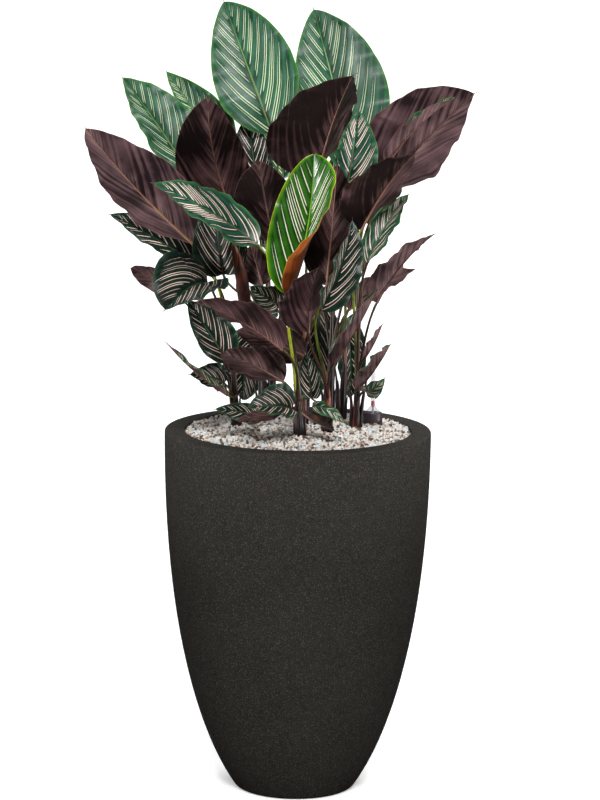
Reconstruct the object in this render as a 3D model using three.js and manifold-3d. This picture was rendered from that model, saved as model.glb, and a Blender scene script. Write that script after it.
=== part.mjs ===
// Potted Calathea sanderiana in a tall tapering planter, with gravel and a water gauge.
// Millimetres, +Z up. The origin is the centre of the planter's flat foot, on the floor.

import * as THREE from 'three';
import { mergeVertices } from 'three/addons/utils/BufferGeometryUtils.js';
import Module from 'manifold-3d';

// Driving dimensions of the planter

const POT_HEIGHT = 550;
const RIM_RADIUS = 200;
const BELLY_TAPER = 0.8;
const BELLY_CURVE = 2.2;
const FOOT_CORNER = 6;
const RIM_WIDTH = 30;
const RIM_ROUND = 5;
const LIP_DEPTH = 32;
const WALL = 14;
const FLOOR_THICKNESS = 16;
const POT_SIDES = 32;

// Driving dimensions of the filling

const GAP = 0.3;
const MOUTH_RADIUS = RIM_RADIUS - RIM_WIDTH;
const GRAVEL_BOTTOM = 522;
const GRAVEL_EDGE = 546;
const GRAVEL_DOME = 12;
const PEBBLE_RELIEF = 1.4;
const STOCK_DEPTH = 60;

// Driving dimensions of the water gauge

const GAUGE_X = 113;
const GAUGE_Y = 38;
const GAUGE_FOOT = 330;
const GAUGE_TOP = 570;
const GAUGE_RADIUS = 14.5;
const GAUGE_WALL = 2;
const CAP_CONE = 10;
const CAP_TOP = 634;
const CAP_TUBE_RADIUS = 4.2;
const CAP_WALL = 1.2;
const FLOAT_RADIUS = 9;
const FLOAT_HEIGHT = 34;
const FLOAT_ROD_RADIUS = 1.5;
const FLOAT_MARK_RADIUS = 2.7;
const FLOAT_TOP = 588;

// Driving dimensions of the foliage

const BLADE_THICKNESS = 0.9;
const RIB_THICKNESS = 1.0;
const BLADE_ROOT_HALF_WIDTH = 2.6;
const BLADE_TIP_HALF_WIDTH = 0.7;
const BASE_ROUNDING = 0.5;
const BLADE_STEPS = 8;
const BLADE_LANES = 4;
const SLIM_BLADE_LANES = 2;
const FURLING_BLADE_LANES = 8;
const SLIM_BLADE_HALF = 25;
const PETIOLE_RADIUS = 2.2;
const PETIOLE_STEPS = 5;
const SHEATH_RADIUS = 4.8;
const SHEATH_STEPS = 2;
const FURLED_STEPS = 5;
const FUSED_DEPTH = 2;
const STOCK_FOOT_RADIUS = 10;
const STOCK_TOP_RADIUS = 6;

// Each shoot stands in its own hole in the gravel: foot and top of its clasping sheaths. A
// fused shoot is one body with its blades.

const SHOOTS = {
  front_left: { foot: [6, -80], top: [1, -88, 602] },
  left: { foot: [-88, 0], top: [-94, -8, 592] },
  back_left: { foot: [-48, 36], top: [-56, 42, 640] },
  back: { foot: [8, 66], top: [10, 78, 650] },
  centre: { foot: [6, -6], top: [6, -8, 660] },
  front_right: { foot: [42, -56], top: [44, -64, 600] },
  right: { foot: [84, -8], top: [88, -14, 598] },
  back_right: { foot: [62, 48], top: [68, 56, 640] },
  rear_left: { foot: [-36, 100], top: [-42, 112, 636], fused: true },
  rear_right: { foot: [44, 104], top: [50, 116, 630], fused: true },
};

// One row for each leaf. base and tip are the ends of the midrib. half holds the widths of the
// left and right halves and fall how fast each narrows to the tip. turn is the way that the
// striped upper face looks, in degrees about the midrib: 0 is to the front, 180 to the back.
// bow arches the midrib to the upper face and sweep bends it to the right. fold is the rise of
// each half at the midrib in degrees, and curl what the fold gains by the margin. roll and furl
// add to fold and curl at the base, fading over the first part of the length, reach. wave is the
// height, count and phase of the margin's waves. rise is how long the stalk runs on along the
// midrib, and clasp the share of the stalk inside its own sheath.

const LEAF_DEFAULTS = {
  turn: 0, bow: 8, sweep: 0, fold: [16, 16], curl: [-10, -10], roll: [24, 24], furl: [0, 0],
  reach: 0.3, wave: [3, 2.5, 0], fall: [0.85, 0.85], rise: 0.22, clasp: 0, material: 'striped',
};

const LEAVES = [
  { name: 'crown_left', shoot: 'back_left', base: [-43, 40, 991], tip: [-118, 120, 1180],
    half: [57, 71], fall: [0.85, 0.72] },
  { name: 'crown_right', shoot: 'back', base: [77, 60, 952], tip: [17, 150, 1168],
    half: [62, 78], fall: [0.85, 0.72], turn: 8 },
  { name: 'crown_far_left', shoot: 'back_left', base: [-157, 20, 917], tip: [-269, 100, 1066],
    half: [34, 54], turn: 26, fold: [24, 24] },
  { name: 'crown_behind', shoot: 'back_left', base: [-108, 60, 949], tip: [-204, 125, 1074],
    half: [18, 43], fall: [0.85, 1.0] },
  { name: 'crown_inner', shoot: 'back_left', base: [-63, 20, 905], tip: [-79, 60, 1012], half: [34, 28] },
  { name: 'upright_left', shoot: 'centre', base: [-102, -30, 882], tip: [-135, -90, 1054],
    half: [46, 60], turn: 180, sweep: 9, clasp: 0.35 },
  { name: 'upright_small', shoot: 'centre', base: [-40, -60, 840], tip: [-62, -110, 964],
    half: [44, 50], turn: 180 },
  { name: 'far_left', shoot: 'left', base: [-157, -60, 837], tip: [-310, -120, 1009],
    half: [62, 58], turn: 155, fold: [24, 24], sweep: 12, clasp: 0.3 },
  { name: 'pink_striped', shoot: 'front_left', base: [-62, -120, 844], tip: [-207, -220, 941],
    half: [40, 40], turn: 56 },
  { name: 'young_lime', shoot: 'front_left', base: [-13, -142, 773], tip: [19, -182, 982],
    half: [54, 62], fall: [0.6, 0.5], turn: -12, sweep: 10, fold: [22, 20], roll: [0, 45],
    furl: [0, 170], reach: 1, clasp: 0.3, material: 'lime' },
  { name: 'upright_centre', shoot: 'centre', base: [23, -30, 925], tip: [73, -120, 1089],
    half: [58, 92], fall: [0.85, 0.7], turn: 222, fold: [24, 24], clasp: 0.35 },
  { name: 'far_right', shoot: 'right', base: [113, -10, 904], tip: [250, -90, 1063],
    half: [62, 80], fall: [1.1, 0.62], turn: 205, fold: [20, 20], clasp: 0.35 },
  { name: 'rolled_right', shoot: 'right', base: [127, -84, 961], tip: [220, -152, 1062],
    half: [22, 20], turn: 262, fold: [48, 48] },
  { name: 'crown_small', shoot: 'back_right', base: [70, -40, 926], tip: [84, -50, 1033],
    half: [24, 38] },
  { name: 'upright_right', shoot: 'right', base: [89, -90, 862], tip: [162, -165, 982],
    half: [48, 54], turn: 222, fold: [22, 22] },
  { name: 'inner_right', shoot: 'right', base: [99, -92, 815], tip: [158, -44, 910],
    half: [20, 25], turn: -42, fold: [25, 25] },
  { name: 'front_right', shoot: 'front_right', base: [29, -160, 755], tip: [74, -210, 890],
    half: [36, 38], turn: 50, fold: [25, 25], clasp: 0.4 },
  { name: 'right_high', shoot: 'right', base: [114, -70, 753], tip: [193, -150, 865],
    half: [30, 34], turn: 240, fold: [25, 25] },
  { name: 'right_behind', shoot: 'back_right', base: [75, 25, 728], tip: [171, -20, 797],
    half: [19, 24], turn: 215 },
  { name: 'right_folded', shoot: 'front_right', base: [51, -96, 665], tip: [111, -150, 782],
    half: [24, 21], turn: 265, fold: [48, 48], bow: -3 },
  { name: 'right_low', shoot: 'right', base: [88, -90, 628], tip: [132, -150, 703],
    half: [23, 21], turn: 258, fold: [44, 44], bow: -3 },
  { name: 'right_slim', shoot: 'right', base: [98, -74, 673], tip: [122, -80, 722],
    half: [10, 9], turn: 250, fold: [42, 42], bow: -2 },
  { name: 'right_tiny', shoot: 'right', base: [100, -60, 620], tip: [126, -100, 645],
    half: [13, 14], turn: 10 },
  { name: 'middle_small', shoot: 'front_left', base: [-32, -96, 752], tip: [-71, -150, 786],
    half: [24, 24], turn: 10, fold: [25, 25] },
  { name: 'middle_dark', shoot: 'front_right', base: [14, -162, 722], tip: [27, -208, 822],
    half: [40, 44], turn: 219, fold: [25, 25] },
  { name: 'reaching_left', shoot: 'front_left', base: [-23, -180, 699], tip: [-146, -240, 776],
    half: [36, 36], turn: 135, fold: [30, 30] },
  { name: 'drooping_left', shoot: 'left', base: [-105, -100, 670], tip: [-162, -100, 757],
    half: [23, 34], turn: 10 },
  { name: 'folded_left', shoot: 'left', base: [-134, -90, 780], tip: [-192, -190, 757],
    half: [46, 60], fall: [0.8, 0.5], turn: 44, fold: [30, 30], bow: 18 },
  { name: 'behind_folded_left', shoot: 'left', base: [-192, -30, 763], tip: [-248, -60, 799],
    half: [16, 16], turn: 180 },
  { name: 'under_far_left', shoot: 'left', base: [-138, -5, 788], tip: [-281, -10, 872],
    half: [21, 34], turn: 30, fold: [25, 25] },
  { name: 'inner_left', shoot: 'centre', base: [-112, -60, 792], tip: [-127, -80, 904], half: [40, 40] },
  { name: 'inner_dark_left', shoot: 'centre', base: [-55, -50, 775], tip: [-73, -60, 834],
    half: [24, 22], turn: 180 },
  { name: 'inner_dark_right', shoot: 'centre', base: [40, -56, 776], tip: [54, -66, 955],
    half: [42, 42], turn: 180, clasp: 0.35 },
  { name: 'low_left', shoot: 'front_left', base: [-22, -120, 642], tip: [-111, -200, 695],
    half: [33, 33], turn: 155, fold: [20, 20] },
  { name: 'low_front', shoot: 'front_left', base: [-10, -116, 601], tip: [-72, -200, 618],
    half: [20, 33], turn: 40, fold: [28, 28] },
  { name: 'low_on_gravel', shoot: 'front_left', base: [-25, -112, 594], tip: [-87, -160, 591],
    half: [8, 9], turn: 180 },
  { name: 'low_dark', shoot: 'left', base: [-58, -72, 581], tip: [-120, -122, 601],
    half: [16, 14], turn: 30 },
  { name: 'low_far_left', shoot: 'left', base: [-110, -56, 628], tip: [-158, -105, 649],
    half: [16, 24], turn: 30 },
  { name: 'low_rolled', shoot: 'left', base: [-103, -112, 620], tip: [-191, -150, 702],
    half: [9, 9], turn: 80, fold: [35, 35], bow: -5 },
  { name: 'inner_low', shoot: 'front_right', base: [20, -56, 608], tip: [11, -66, 675], half: [18, 18] },
  { name: 'inner_dark_low', shoot: 'centre', base: [8, -60, 672], tip: [-92, -50, 706],
    half: [28, 28], turn: 170 },
  { name: 'low_green', shoot: 'front_right', base: [23, -128, 608], tip: [71, -166, 589],
    half: [8, 10], turn: 10, sweep: -9 },
  { name: 'dry_curled', shoot: 'front_left', base: [7, -124, 597], tip: [53, -146, 575],
    half: [18, 18], turn: -150, fold: [50, 50], bow: -4, rise: 0.3, material: 'dry' },
  { name: 'rear_high_left', shoot: 'rear_left', base: [-62, 125, 850], tip: [-120, 235, 950],
    half: [44, 44], turn: 15, bow: 16 },
  { name: 'rear_mid_left', shoot: 'rear_left', base: [-86, 130, 755], tip: [-175, 215, 780],
    half: [38, 38], turn: 70, bow: 20 },
  { name: 'rear_low_left', shoot: 'rear_left', base: [-66, 128, 683], tip: [-86, 172, 564],
    half: [38, 38], turn: 20, bow: 14 },
  { name: 'rear_high_right', shoot: 'rear_right', base: [62, 130, 860], tip: [112, 245, 960],
    half: [46, 46], turn: -15, bow: 16 },
  { name: 'rear_mid_right', shoot: 'rear_right', base: [86, 128, 759], tip: [103, 228, 774],
    half: [34, 34], turn: -70, bow: 20 },
  { name: 'rear_low_right', shoot: 'rear_right', base: [72, 132, 700], tip: [80, 176, 568],
    half: [24, 24], turn: -20, bow: 12 },
  { name: 'rear_tall_left', shoot: 'rear_left', base: [-26, 118, 915], tip: [-52, 195, 1075],
    half: [46, 46], turn: 10, bow: 12 },
  { name: 'rear_inner_left', shoot: 'rear_left', base: [-14, 150, 780], tip: [-30, 262, 850],
    half: [40, 40], bow: 16 },
  { name: 'rear_side_left', shoot: 'rear_left', base: [-92, 96, 828], tip: [-190, 165, 890],
    half: [34, 34], turn: 50, bow: 14 },
  { name: 'rear_tall_right', shoot: 'rear_right', base: [66, 116, 930], tip: [104, 195, 1080],
    half: [44, 44], turn: -10, bow: 12 },
  { name: 'rear_inner_right', shoot: 'rear_right', base: [29, 140, 728], tip: [26, 186, 570],
    half: [38, 38], bow: 14 },
  { name: 'rear_side_right', shoot: 'rear_right', base: [104, 90, 850], tip: [177, 150, 954],
    half: [34, 34], turn: -50, bow: 14 },
  { name: 'furled', shoot: 'back_left', base: [-77, -44, 726], tip: [-97, -118, 845],
    half: [9, 9], bow: 0, fall: [0.6, 0.6], furled: true, material: 'furled' },
];

// Solid helpers

const manifoldLibrary = await Module();
manifoldLibrary.setup();

// A closed three.js geometry as a solid that can be joined and cut.
function toSolid(geometry) {
  const bare = geometry.clone();
  bare.deleteAttribute('normal');
  bare.deleteAttribute('uv');
  const merged = mergeVertices(bare, 1e-3);
  const corners = merged.index.array;
  const kept = [];
  for (let i = 0; i < corners.length; i += 3) {
    const [a, b, c] = [corners[i], corners[i + 1], corners[i + 2]];
    if (a !== b && b !== c && c !== a) kept.push(a, b, c);
  }
  return new manifoldLibrary.Manifold(new manifoldLibrary.Mesh({
    numProp: 3,
    vertProperties: new Float32Array(merged.attributes.position.array),
    triVerts: new Uint32Array(kept),
  }));
}

// A solid back as a three.js geometry.
function toGeometry(solid) {
  const mesh = solid.getMesh();
  const geometry = new THREE.BufferGeometry();
  geometry.setAttribute('position', new THREE.BufferAttribute(mesh.vertProperties, 3));
  geometry.setIndex(new THREE.BufferAttribute(mesh.triVerts, 1));
  geometry.computeVertexNormals();
  return geometry;
}

// A turned solid about the Z axis, from (radius, height) points that start and end on the axis
// or close on themselves.
function turned(points, sides) {
  const profile = points.map(([radius, height]) => new THREE.Vector2(radius, height));
  return new THREE.LatheGeometry(profile, sides).rotateX(Math.PI / 2);
}

// A straight round bar between two points, with its own radius at each end.
function bar(from, to, fromRadius, toRadius, sides) {
  const axis = to.clone().sub(from);
  const geometry = new THREE.CylinderGeometry(toRadius, fromRadius, axis.length(), sides);
  geometry.translate(0, axis.length() / 2, 0);
  const upright = new THREE.Vector3(0, 1, 0);
  geometry.applyQuaternion(new THREE.Quaternion().setFromUnitVectors(upright, axis.normalize()));
  return geometry.translate(from.x, from.y, from.z);
}

// Planter

function outerRadius(height) {
  const depth = (POT_HEIGHT - height) / POT_HEIGHT;
  return RIM_RADIUS * Math.sqrt(1 - BELLY_TAPER * depth ** BELLY_CURVE);
}

// Heights from one level up to another, closer together near the lower one.
function stations(low, high, count) {
  return Array.from({ length: count + 1 }, (_, k) => low + (high - low) * (k / count) ** 1.5);
}

const CAVITY_TOP = POT_HEIGHT - LIP_DEPTH - WALL;
const CAVITY = stations(FLOOR_THICKNESS, CAVITY_TOP, 5).map((height) => [outerRadius(height) - WALL, height]);

function planter() {
  const rimBend = POT_HEIGHT - RIM_ROUND;
  const outside = stations(FOOT_CORNER, rimBend, 10).map((height) => [outerRadius(height), height]);
  const inside = [...CAVITY].reverse();
  return turned([
    [0, 0],
    [outerRadius(0) - FOOT_CORNER, 0],
    ...outside,
    [RIM_RADIUS - RIM_ROUND * 0.3, POT_HEIGHT - RIM_ROUND * 0.3],
    [RIM_RADIUS - RIM_ROUND, POT_HEIGHT],
    [MOUTH_RADIUS + 2, POT_HEIGHT],
    [MOUTH_RADIUS, POT_HEIGHT - 2],
    [MOUTH_RADIUS, POT_HEIGHT - LIP_DEPTH],
    ...inside,
    [0, FLOOR_THICKNESS],
  ], POT_SIDES);
}

// Water gauge, a dipstick tube that stands in the granules

function gaugeHousing() {
  const bore = GAUGE_RADIUS - GAUGE_WALL;
  return turned([
    [0, GAUGE_FOOT],
    [GAUGE_RADIUS, GAUGE_FOOT],
    [GAUGE_RADIUS, GAUGE_TOP - 1.5],
    [GAUGE_RADIUS - 1, GAUGE_TOP],
    [bore, GAUGE_TOP],
    [bore, GAUGE_FOOT + GAUGE_WALL],
    [0, GAUGE_FOOT + GAUGE_WALL],
  ], 16).translate(GAUGE_X, GAUGE_Y, 0);
}

function gaugeCap() {
  const foot = GAUGE_TOP + GAP;
  const shoulder = foot + CAP_CONE;
  return turned([
    [GAUGE_RADIUS - 1, foot],
    [CAP_TUBE_RADIUS, shoulder],
    [CAP_TUBE_RADIUS, CAP_TOP - 2],
    [CAP_TUBE_RADIUS - 2, CAP_TOP],
    [0, CAP_TOP],
    [0, CAP_TOP - CAP_WALL],
    [CAP_TUBE_RADIUS - CAP_WALL, CAP_TOP - 2 - CAP_WALL],
    [CAP_TUBE_RADIUS - CAP_WALL, shoulder],
    [GAUGE_RADIUS - GAUGE_WALL - 0.5, foot],
    [GAUGE_RADIUS - 1, foot],
  ], 12).translate(GAUGE_X, GAUGE_Y, 0);
}

function gaugeFloat() {
  const foot = GAUGE_FOOT + GAUGE_WALL + GAP;
  const markFoot = FLOAT_TOP - 9;
  return turned([
    [0, foot],
    [FLOAT_RADIUS, foot],
    [FLOAT_RADIUS, foot + FLOAT_HEIGHT],
    [FLOAT_ROD_RADIUS, foot + FLOAT_HEIGHT + 4],
    [FLOAT_ROD_RADIUS, markFoot],
    [FLOAT_MARK_RADIUS, markFoot + 1],
    [FLOAT_MARK_RADIUS, FLOAT_TOP],
    [0, FLOAT_TOP],
  ], 10).translate(GAUGE_X, GAUGE_Y, 0);
}

// Shoots and holes for them

const STOCK_FOOT_HEIGHT = GRAVEL_EDGE - STOCK_DEPTH;

function stockEnds(shoot) {
  return [new THREE.Vector3(...shoot.foot, STOCK_FOOT_HEIGHT), new THREE.Vector3(...shoot.top)];
}

// The clasping sheaths at the foot of a shoot, as one tapered stock, widened by a clearance.
function stock(shoot, clearance) {
  const [foot, top] = stockEnds(shoot);
  const down = foot.clone().sub(top).normalize();
  const low = foot.addScaledVector(down, clearance);
  return bar(low, top, STOCK_FOOT_RADIUS + clearance, STOCK_TOP_RADIUS + clearance, 8);
}

function withHoles(geometry) {
  const gauge = bar(
    new THREE.Vector3(GAUGE_X, GAUGE_Y, GAUGE_FOOT - GAP),
    new THREE.Vector3(GAUGE_X, GAUGE_Y, GAUGE_TOP + 20),
    GAUGE_RADIUS + GAP, GAUGE_RADIUS + GAP, 16,
  );
  let solid = toSolid(geometry).subtract(toSolid(gauge));
  for (const shoot of Object.values(SHOOTS)) solid = solid.subtract(toSolid(stock(shoot, GAP)));
  return toGeometry(solid);
}

function clayFill() {
  const top = GRAVEL_BOTTOM - GAP;
  const mouth = MOUTH_RADIUS - GAP;
  const wall = CAVITY.map(([radius, height]) => [radius - GAP, height]);
  wall[0][1] += GAP;
  return withHoles(turned([
    [0, FLOOR_THICKNESS + GAP],
    ...wall,
    [mouth, POT_HEIGHT - LIP_DEPTH - 1],
    [mouth, top],
    [0, top],
  ], POT_SIDES));
}

// Height of the gravel: a low dome with the pebbles as waves across it, level at the edge.
function gravelHeight(x, y) {
  const share = Math.min(1, Math.hypot(x, y) / MOUTH_RADIUS);
  const relief = Math.sin(x * 0.31 + 1.7 * Math.sin(y * 0.17)) * Math.sin(y * 0.29 + 1.3 * Math.sin(x * 0.13));
  return GRAVEL_EDGE + GRAVEL_DOME * (1 - share ** 2) + PEBBLE_RELIEF * relief * (1 - share ** 8);
}

function gravelLayer() {
  const radius = MOUTH_RADIUS - GAP;
  const rings = 8;
  const surface = Array.from({ length: rings }, (_, k) => [radius * (1 - k / rings), GRAVEL_EDGE]);
  const layer = turned([[0, GRAVEL_BOTTOM], [radius, GRAVEL_BOTTOM], ...surface, [0, GRAVEL_EDGE]], POT_SIDES);
  const position = layer.attributes.position;
  for (let i = 0; i < position.count; i += 1) {
    if (position.getZ(i) > GRAVEL_EDGE - 1) {
      position.setZ(i, gravelHeight(position.getX(i), position.getY(i)));
    }
  }
  return withHoles(layer);
}

// Leaves

const radians = THREE.MathUtils.degToRad;

// The rest frame of a leaf: root, chord, and unit vectors along it, up from its face, and to its right.
function leafFrame(leaf) {
  const root = new THREE.Vector3(...leaf.base);
  const chord = new THREE.Vector3(...leaf.tip).sub(root);
  const along = chord.clone().normalize();
  const face = new THREE.Vector3(0, -1, 0).addScaledVector(along, along.y).normalize();
  face.applyAxisAngle(along, radians(leaf.turn));
  return { root, chord, face, right: along.clone().cross(face) };
}

// The midrib: a parabola arched to the face by bow and to the right by sweep. Gives the point
// and the unit vectors along, up and right at a share of the length.
function midrib(leaf, frame, share) {
  const arch = 4 * share * (1 - share);
  const slope = 4 * (1 - 2 * share);
  const point = frame.root.clone().addScaledVector(frame.chord, share)
    .addScaledVector(frame.face, leaf.bow * arch).addScaledVector(frame.right, leaf.sweep * arch);
  const along = frame.chord.clone()
    .addScaledVector(frame.face, leaf.bow * slope).addScaledVector(frame.right, leaf.sweep * slope).normalize();
  const up = frame.face.clone().addScaledVector(along, -frame.face.dot(along)).normalize();
  return { point, along, up, right: along.clone().cross(up) };
}

// The width of one half of the blade: an oval with a rounded base and a drawn-out tip.
function halfWidth(leaf, half, share) {
  const fall = leaf.fall[half];
  const widest = BASE_ROUNDING / (BASE_ROUNDING + fall);
  const peak = widest ** BASE_ROUNDING * (1 - widest) ** fall;
  const oval = leaf.half[half] * (share ** BASE_ROUNDING * (1 - share) ** fall) / peak;
  return oval + BLADE_ROOT_HALF_WIDTH * (1 - share) ** 3 + BLADE_TIP_HALF_WIDTH * share;
}

// A point of an arc that starts at one angle and gains another over its unit length.
function arcPoint(start, gain, share) {
  if (Math.abs(gain) < 1e-3) return [share * Math.cos(start), share * Math.sin(start)];
  const end = start + gain * share;
  return [(Math.sin(end) - Math.sin(start)) / gain, (Math.cos(start) - Math.cos(end)) / gain];
}

// A point on the blade's middle surface with its normal: share runs from base to tip, and
// across from -1 at the left margin to 1 at the right one.
function bladePoint(leaf, frame, share, across) {
  const rib = midrib(leaf, frame, share);
  const side = across < 0 ? -1 : 1;
  const half = across < 0 ? 0 : 1;
  const outward = Math.abs(across);
  const closing = Math.max(0, 1 - share / leaf.reach);
  const width = halfWidth(leaf, half, share);
  const furl = leaf.furl[half] * closing * Math.min(1, width / leaf.half[half]);
  const start = radians(leaf.fold[half] + leaf.roll[half] * closing);
  const gain = radians(leaf.curl[half] + furl);
  const [sideways, lift] = arcPoint(start, gain, outward);
  const [height, count, phase] = leaf.wave;
  const ripple = height * outward ** 2 * Math.sin(2 * Math.PI * count * share + phase + 1.9 * half)
    * Math.sqrt(Math.sin(Math.PI * share));
  const angle = start + gain * outward;
  const normal = rib.up.clone().multiplyScalar(Math.cos(angle)).addScaledVector(rib.right, -side * Math.sin(angle));
  const point = rib.point.clone().addScaledVector(rib.right, side * width * sideways)
    .addScaledVector(rib.up, width * lift).addScaledVector(normal, ripple);
  return { point, normal };
}

// A leaf blade as one closed body: the upper and the lower face on one grid, split into
// triangles alike, with a thicker rib below the middle, and walls along the margin.
function blade(leaf) {
  const frame = leafFrame(leaf);
  const positions = [];
  const flatLanes = Math.max(...leaf.half) < SLIM_BLADE_HALF ? SLIM_BLADE_LANES : BLADE_LANES;
  const lanes = Math.max(...leaf.furl) > 0 ? FURLING_BLADE_LANES : flatLanes;
  const row = lanes + 1;
  for (const below of [false, true]) {
    for (let i = 0; i <= BLADE_STEPS; i += 1) {
      const share = (1 - Math.cos((Math.PI * i) / BLADE_STEPS)) / 2;
      for (let j = 0; j < row; j += 1) {
        const across = (2 * j) / lanes - 1;
        const { point, normal } = bladePoint(leaf, frame, Math.min(share, 0.9999), across);
        const rib = across === 0 ? RIB_THICKNESS * (1 - 0.7 * share) : 0;
        point.addScaledVector(normal, below ? -BLADE_THICKNESS / 2 - rib : BLADE_THICKNESS / 2);
        positions.push(point.x, point.y, point.z);
      }
    }
  }
  const lower = row * (BLADE_STEPS + 1);
  const index = [];
  const quad = (a, b, c, d) => index.push(a, b, c, a, c, d);
  for (let i = 0; i < BLADE_STEPS; i += 1) {
    const near = i * row;
    const far = near + row;
    for (let j = 0; j < lanes; j += 1) {
      index.push(near + j, far + j + 1, far + j, near + j, near + j + 1, far + j + 1);
      quad(lower + near + j, lower + far + j, lower + far + j + 1, lower + near + j + 1);
    }
    quad(near + lanes, lower + near + lanes, lower + far + lanes, far + lanes);
    quad(near, far, lower + far, lower + near);
  }
  const end = BLADE_STEPS * row;
  for (let j = 0; j < lanes; j += 1) {
    quad(j, lower + j, lower + j + 1, j + 1);
    quad(end + j, end + j + 1, lower + end + j + 1, lower + end + j);
  }
  const geometry = new THREE.BufferGeometry();
  geometry.setAttribute('position', new THREE.Float32BufferAttribute(positions, 3));
  geometry.setIndex(index);
  geometry.computeVertexNormals();
  return geometry;
}

// A new leaf that is still rolled up: a slim spindle along its midrib.
function furledBlade(leaf) {
  const { root, chord } = leafFrame(leaf);
  const profile = [[0, 0]];
  for (let k = 0; k <= FURLED_STEPS; k += 1) {
    const share = k / FURLED_STEPS;
    profile.push([halfWidth(leaf, 1, Math.min(share, 0.9999)), share * chord.length()]);
  }
  profile.push([0, chord.length()]);
  const geometry = turned(profile, 8);
  const upright = new THREE.Vector3(0, 0, 1);
  geometry.applyQuaternion(new THREE.Quaternion().setFromUnitVectors(upright, chord.clone().normalize()));
  return geometry.translate(root.x, root.y, root.z);
}

// The line of a leaf's stalk: it leaves the top of the shoot's sheaths upward and meets the
// blade along its midrib.
function stalkLine(leaf, shoot) {
  const frame = leafFrame(leaf);
  const start = midrib(leaf, frame, 0);
  const [foot, top] = stockEnds(shoot);
  const lift = top.clone().sub(foot).normalize();
  const from = top.clone().addScaledVector(lift, -16);
  const to = start.point.clone().addScaledVector(start.along, shoot.fused ? FUSED_DEPTH : -GAP);
  const reach = from.distanceTo(to);
  return new THREE.CubicBezierCurve3(
    from,
    from.clone().addScaledVector(lift, reach * 0.4),
    to.clone().addScaledVector(start.along, -reach * leaf.rise),
    to,
  );
}

// A four-sided rod of one radius along a curve.
function rod(curve, radius, steps) {
  const section = new THREE.Shape().absarc(0, 0, radius, 0, 2 * Math.PI, false);
  return new THREE.ExtrudeGeometry(section, {
    steps, curveSegments: 2, bevelEnabled: false, extrudePath: curve,
  });
}

// A leaf's stalk, with the sheath that clasps its lower part where the row gives one.
function stalk(leaf, shoot) {
  const line = stalkLine(leaf, shoot);
  const bare = toSolid(rod(line, PETIOLE_RADIUS, PETIOLE_STEPS));
  if (!leaf.clasp) return bare;
  const marks = [0, 0.5, 1].map((share) => line.getPoint(share * leaf.clasp));
  const sheath = rod(new THREE.CatmullRomCurve3(marks), SHEATH_RADIUS, SHEATH_STEPS);
  return bare.add(toSolid(sheath));
}

// A shoot's sheaths and stalks as one body, with its blades as well on a fused shoot.
function shootBody(name) {
  const shoot = SHOOTS[name];
  let solid = toSolid(stock(shoot, 0));
  for (const leaf of plant.filter((each) => each.shoot === name)) {
    solid = solid.add(stalk(leaf, shoot));
    if (shoot.fused) solid = solid.add(toSolid(blade(leaf)));
  }
  return toGeometry(solid);
}

// Materials

const MATERIALS = {
  planter: new THREE.MeshStandardMaterial({ color: 0x33302d, roughness: 0.85, metalness: 0 }),
  clay: new THREE.MeshStandardMaterial({ color: 0x8a4a30, roughness: 0.95, metalness: 0 }),
  gravel: new THREE.MeshStandardMaterial({ color: 0xbcb0aa, roughness: 0.9, metalness: 0 }),
  housing: new THREE.MeshStandardMaterial({ color: 0x3f343a, roughness: 0.5, metalness: 0 }),
  clear: new THREE.MeshStandardMaterial({ color: 0xe4e0e6, roughness: 0.1, metalness: 0 }),
  float: new THREE.MeshStandardMaterial({ color: 0xd8452b, roughness: 0.4, metalness: 0 }),
  stalk: new THREE.MeshStandardMaterial({ color: 0x5d5f22, roughness: 0.5, metalness: 0 }),
  striped: new THREE.MeshStandardMaterial({ color: 0x2f6b45, roughness: 0.45, metalness: 0 }),
  lime: new THREE.MeshStandardMaterial({ color: 0x6fa01c, roughness: 0.35, metalness: 0 }),
  furled: new THREE.MeshStandardMaterial({ color: 0x5a2a18, roughness: 0.5, metalness: 0 }),
  dry: new THREE.MeshStandardMaterial({ color: 0x7a5236, roughness: 0.9, metalness: 0 }),
};

// Assembly

const plant = LEAVES.map((leaf) => ({ ...LEAF_DEFAULTS, ...leaf }));
const group = new THREE.Group();

function addPiece(name, geometry, material) {
  const piece = new THREE.Mesh(geometry, MATERIALS[material]);
  piece.name = name;
  group.add(piece);
}

addPiece('planter', planter(), 'planter');
addPiece('clay_fill', clayFill(), 'clay');
addPiece('gravel', gravelLayer(), 'gravel');
addPiece('gauge_housing', gaugeHousing(), 'housing');
addPiece('gauge_cap', gaugeCap(), 'clear');
addPiece('gauge_float', gaugeFloat(), 'float');
for (const name of Object.keys(SHOOTS)) addPiece(`stalks_${name}`, shootBody(name), 'stalk');
for (const leaf of plant.filter((each) => !SHOOTS[each.shoot].fused)) {
  addPiece(`leaf_${leaf.name}`, leaf.furled ? furledBlade(leaf) : blade(leaf), leaf.material);
}

export default group;
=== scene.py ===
"""Looks of the potted Calathea sanderiana: leaves, stalks, planter, pebbles and water gauge.

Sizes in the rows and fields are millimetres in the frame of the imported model, +Z up, and each
mesh is made in metres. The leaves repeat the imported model's own formula on a finer grid.
"""

import logging
import math
from collections.abc import Callable
from dataclasses import dataclass
from enum import Enum
from functools import partial

import bpy
import numpy as np
from mathutils import Matrix, Vector


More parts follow.
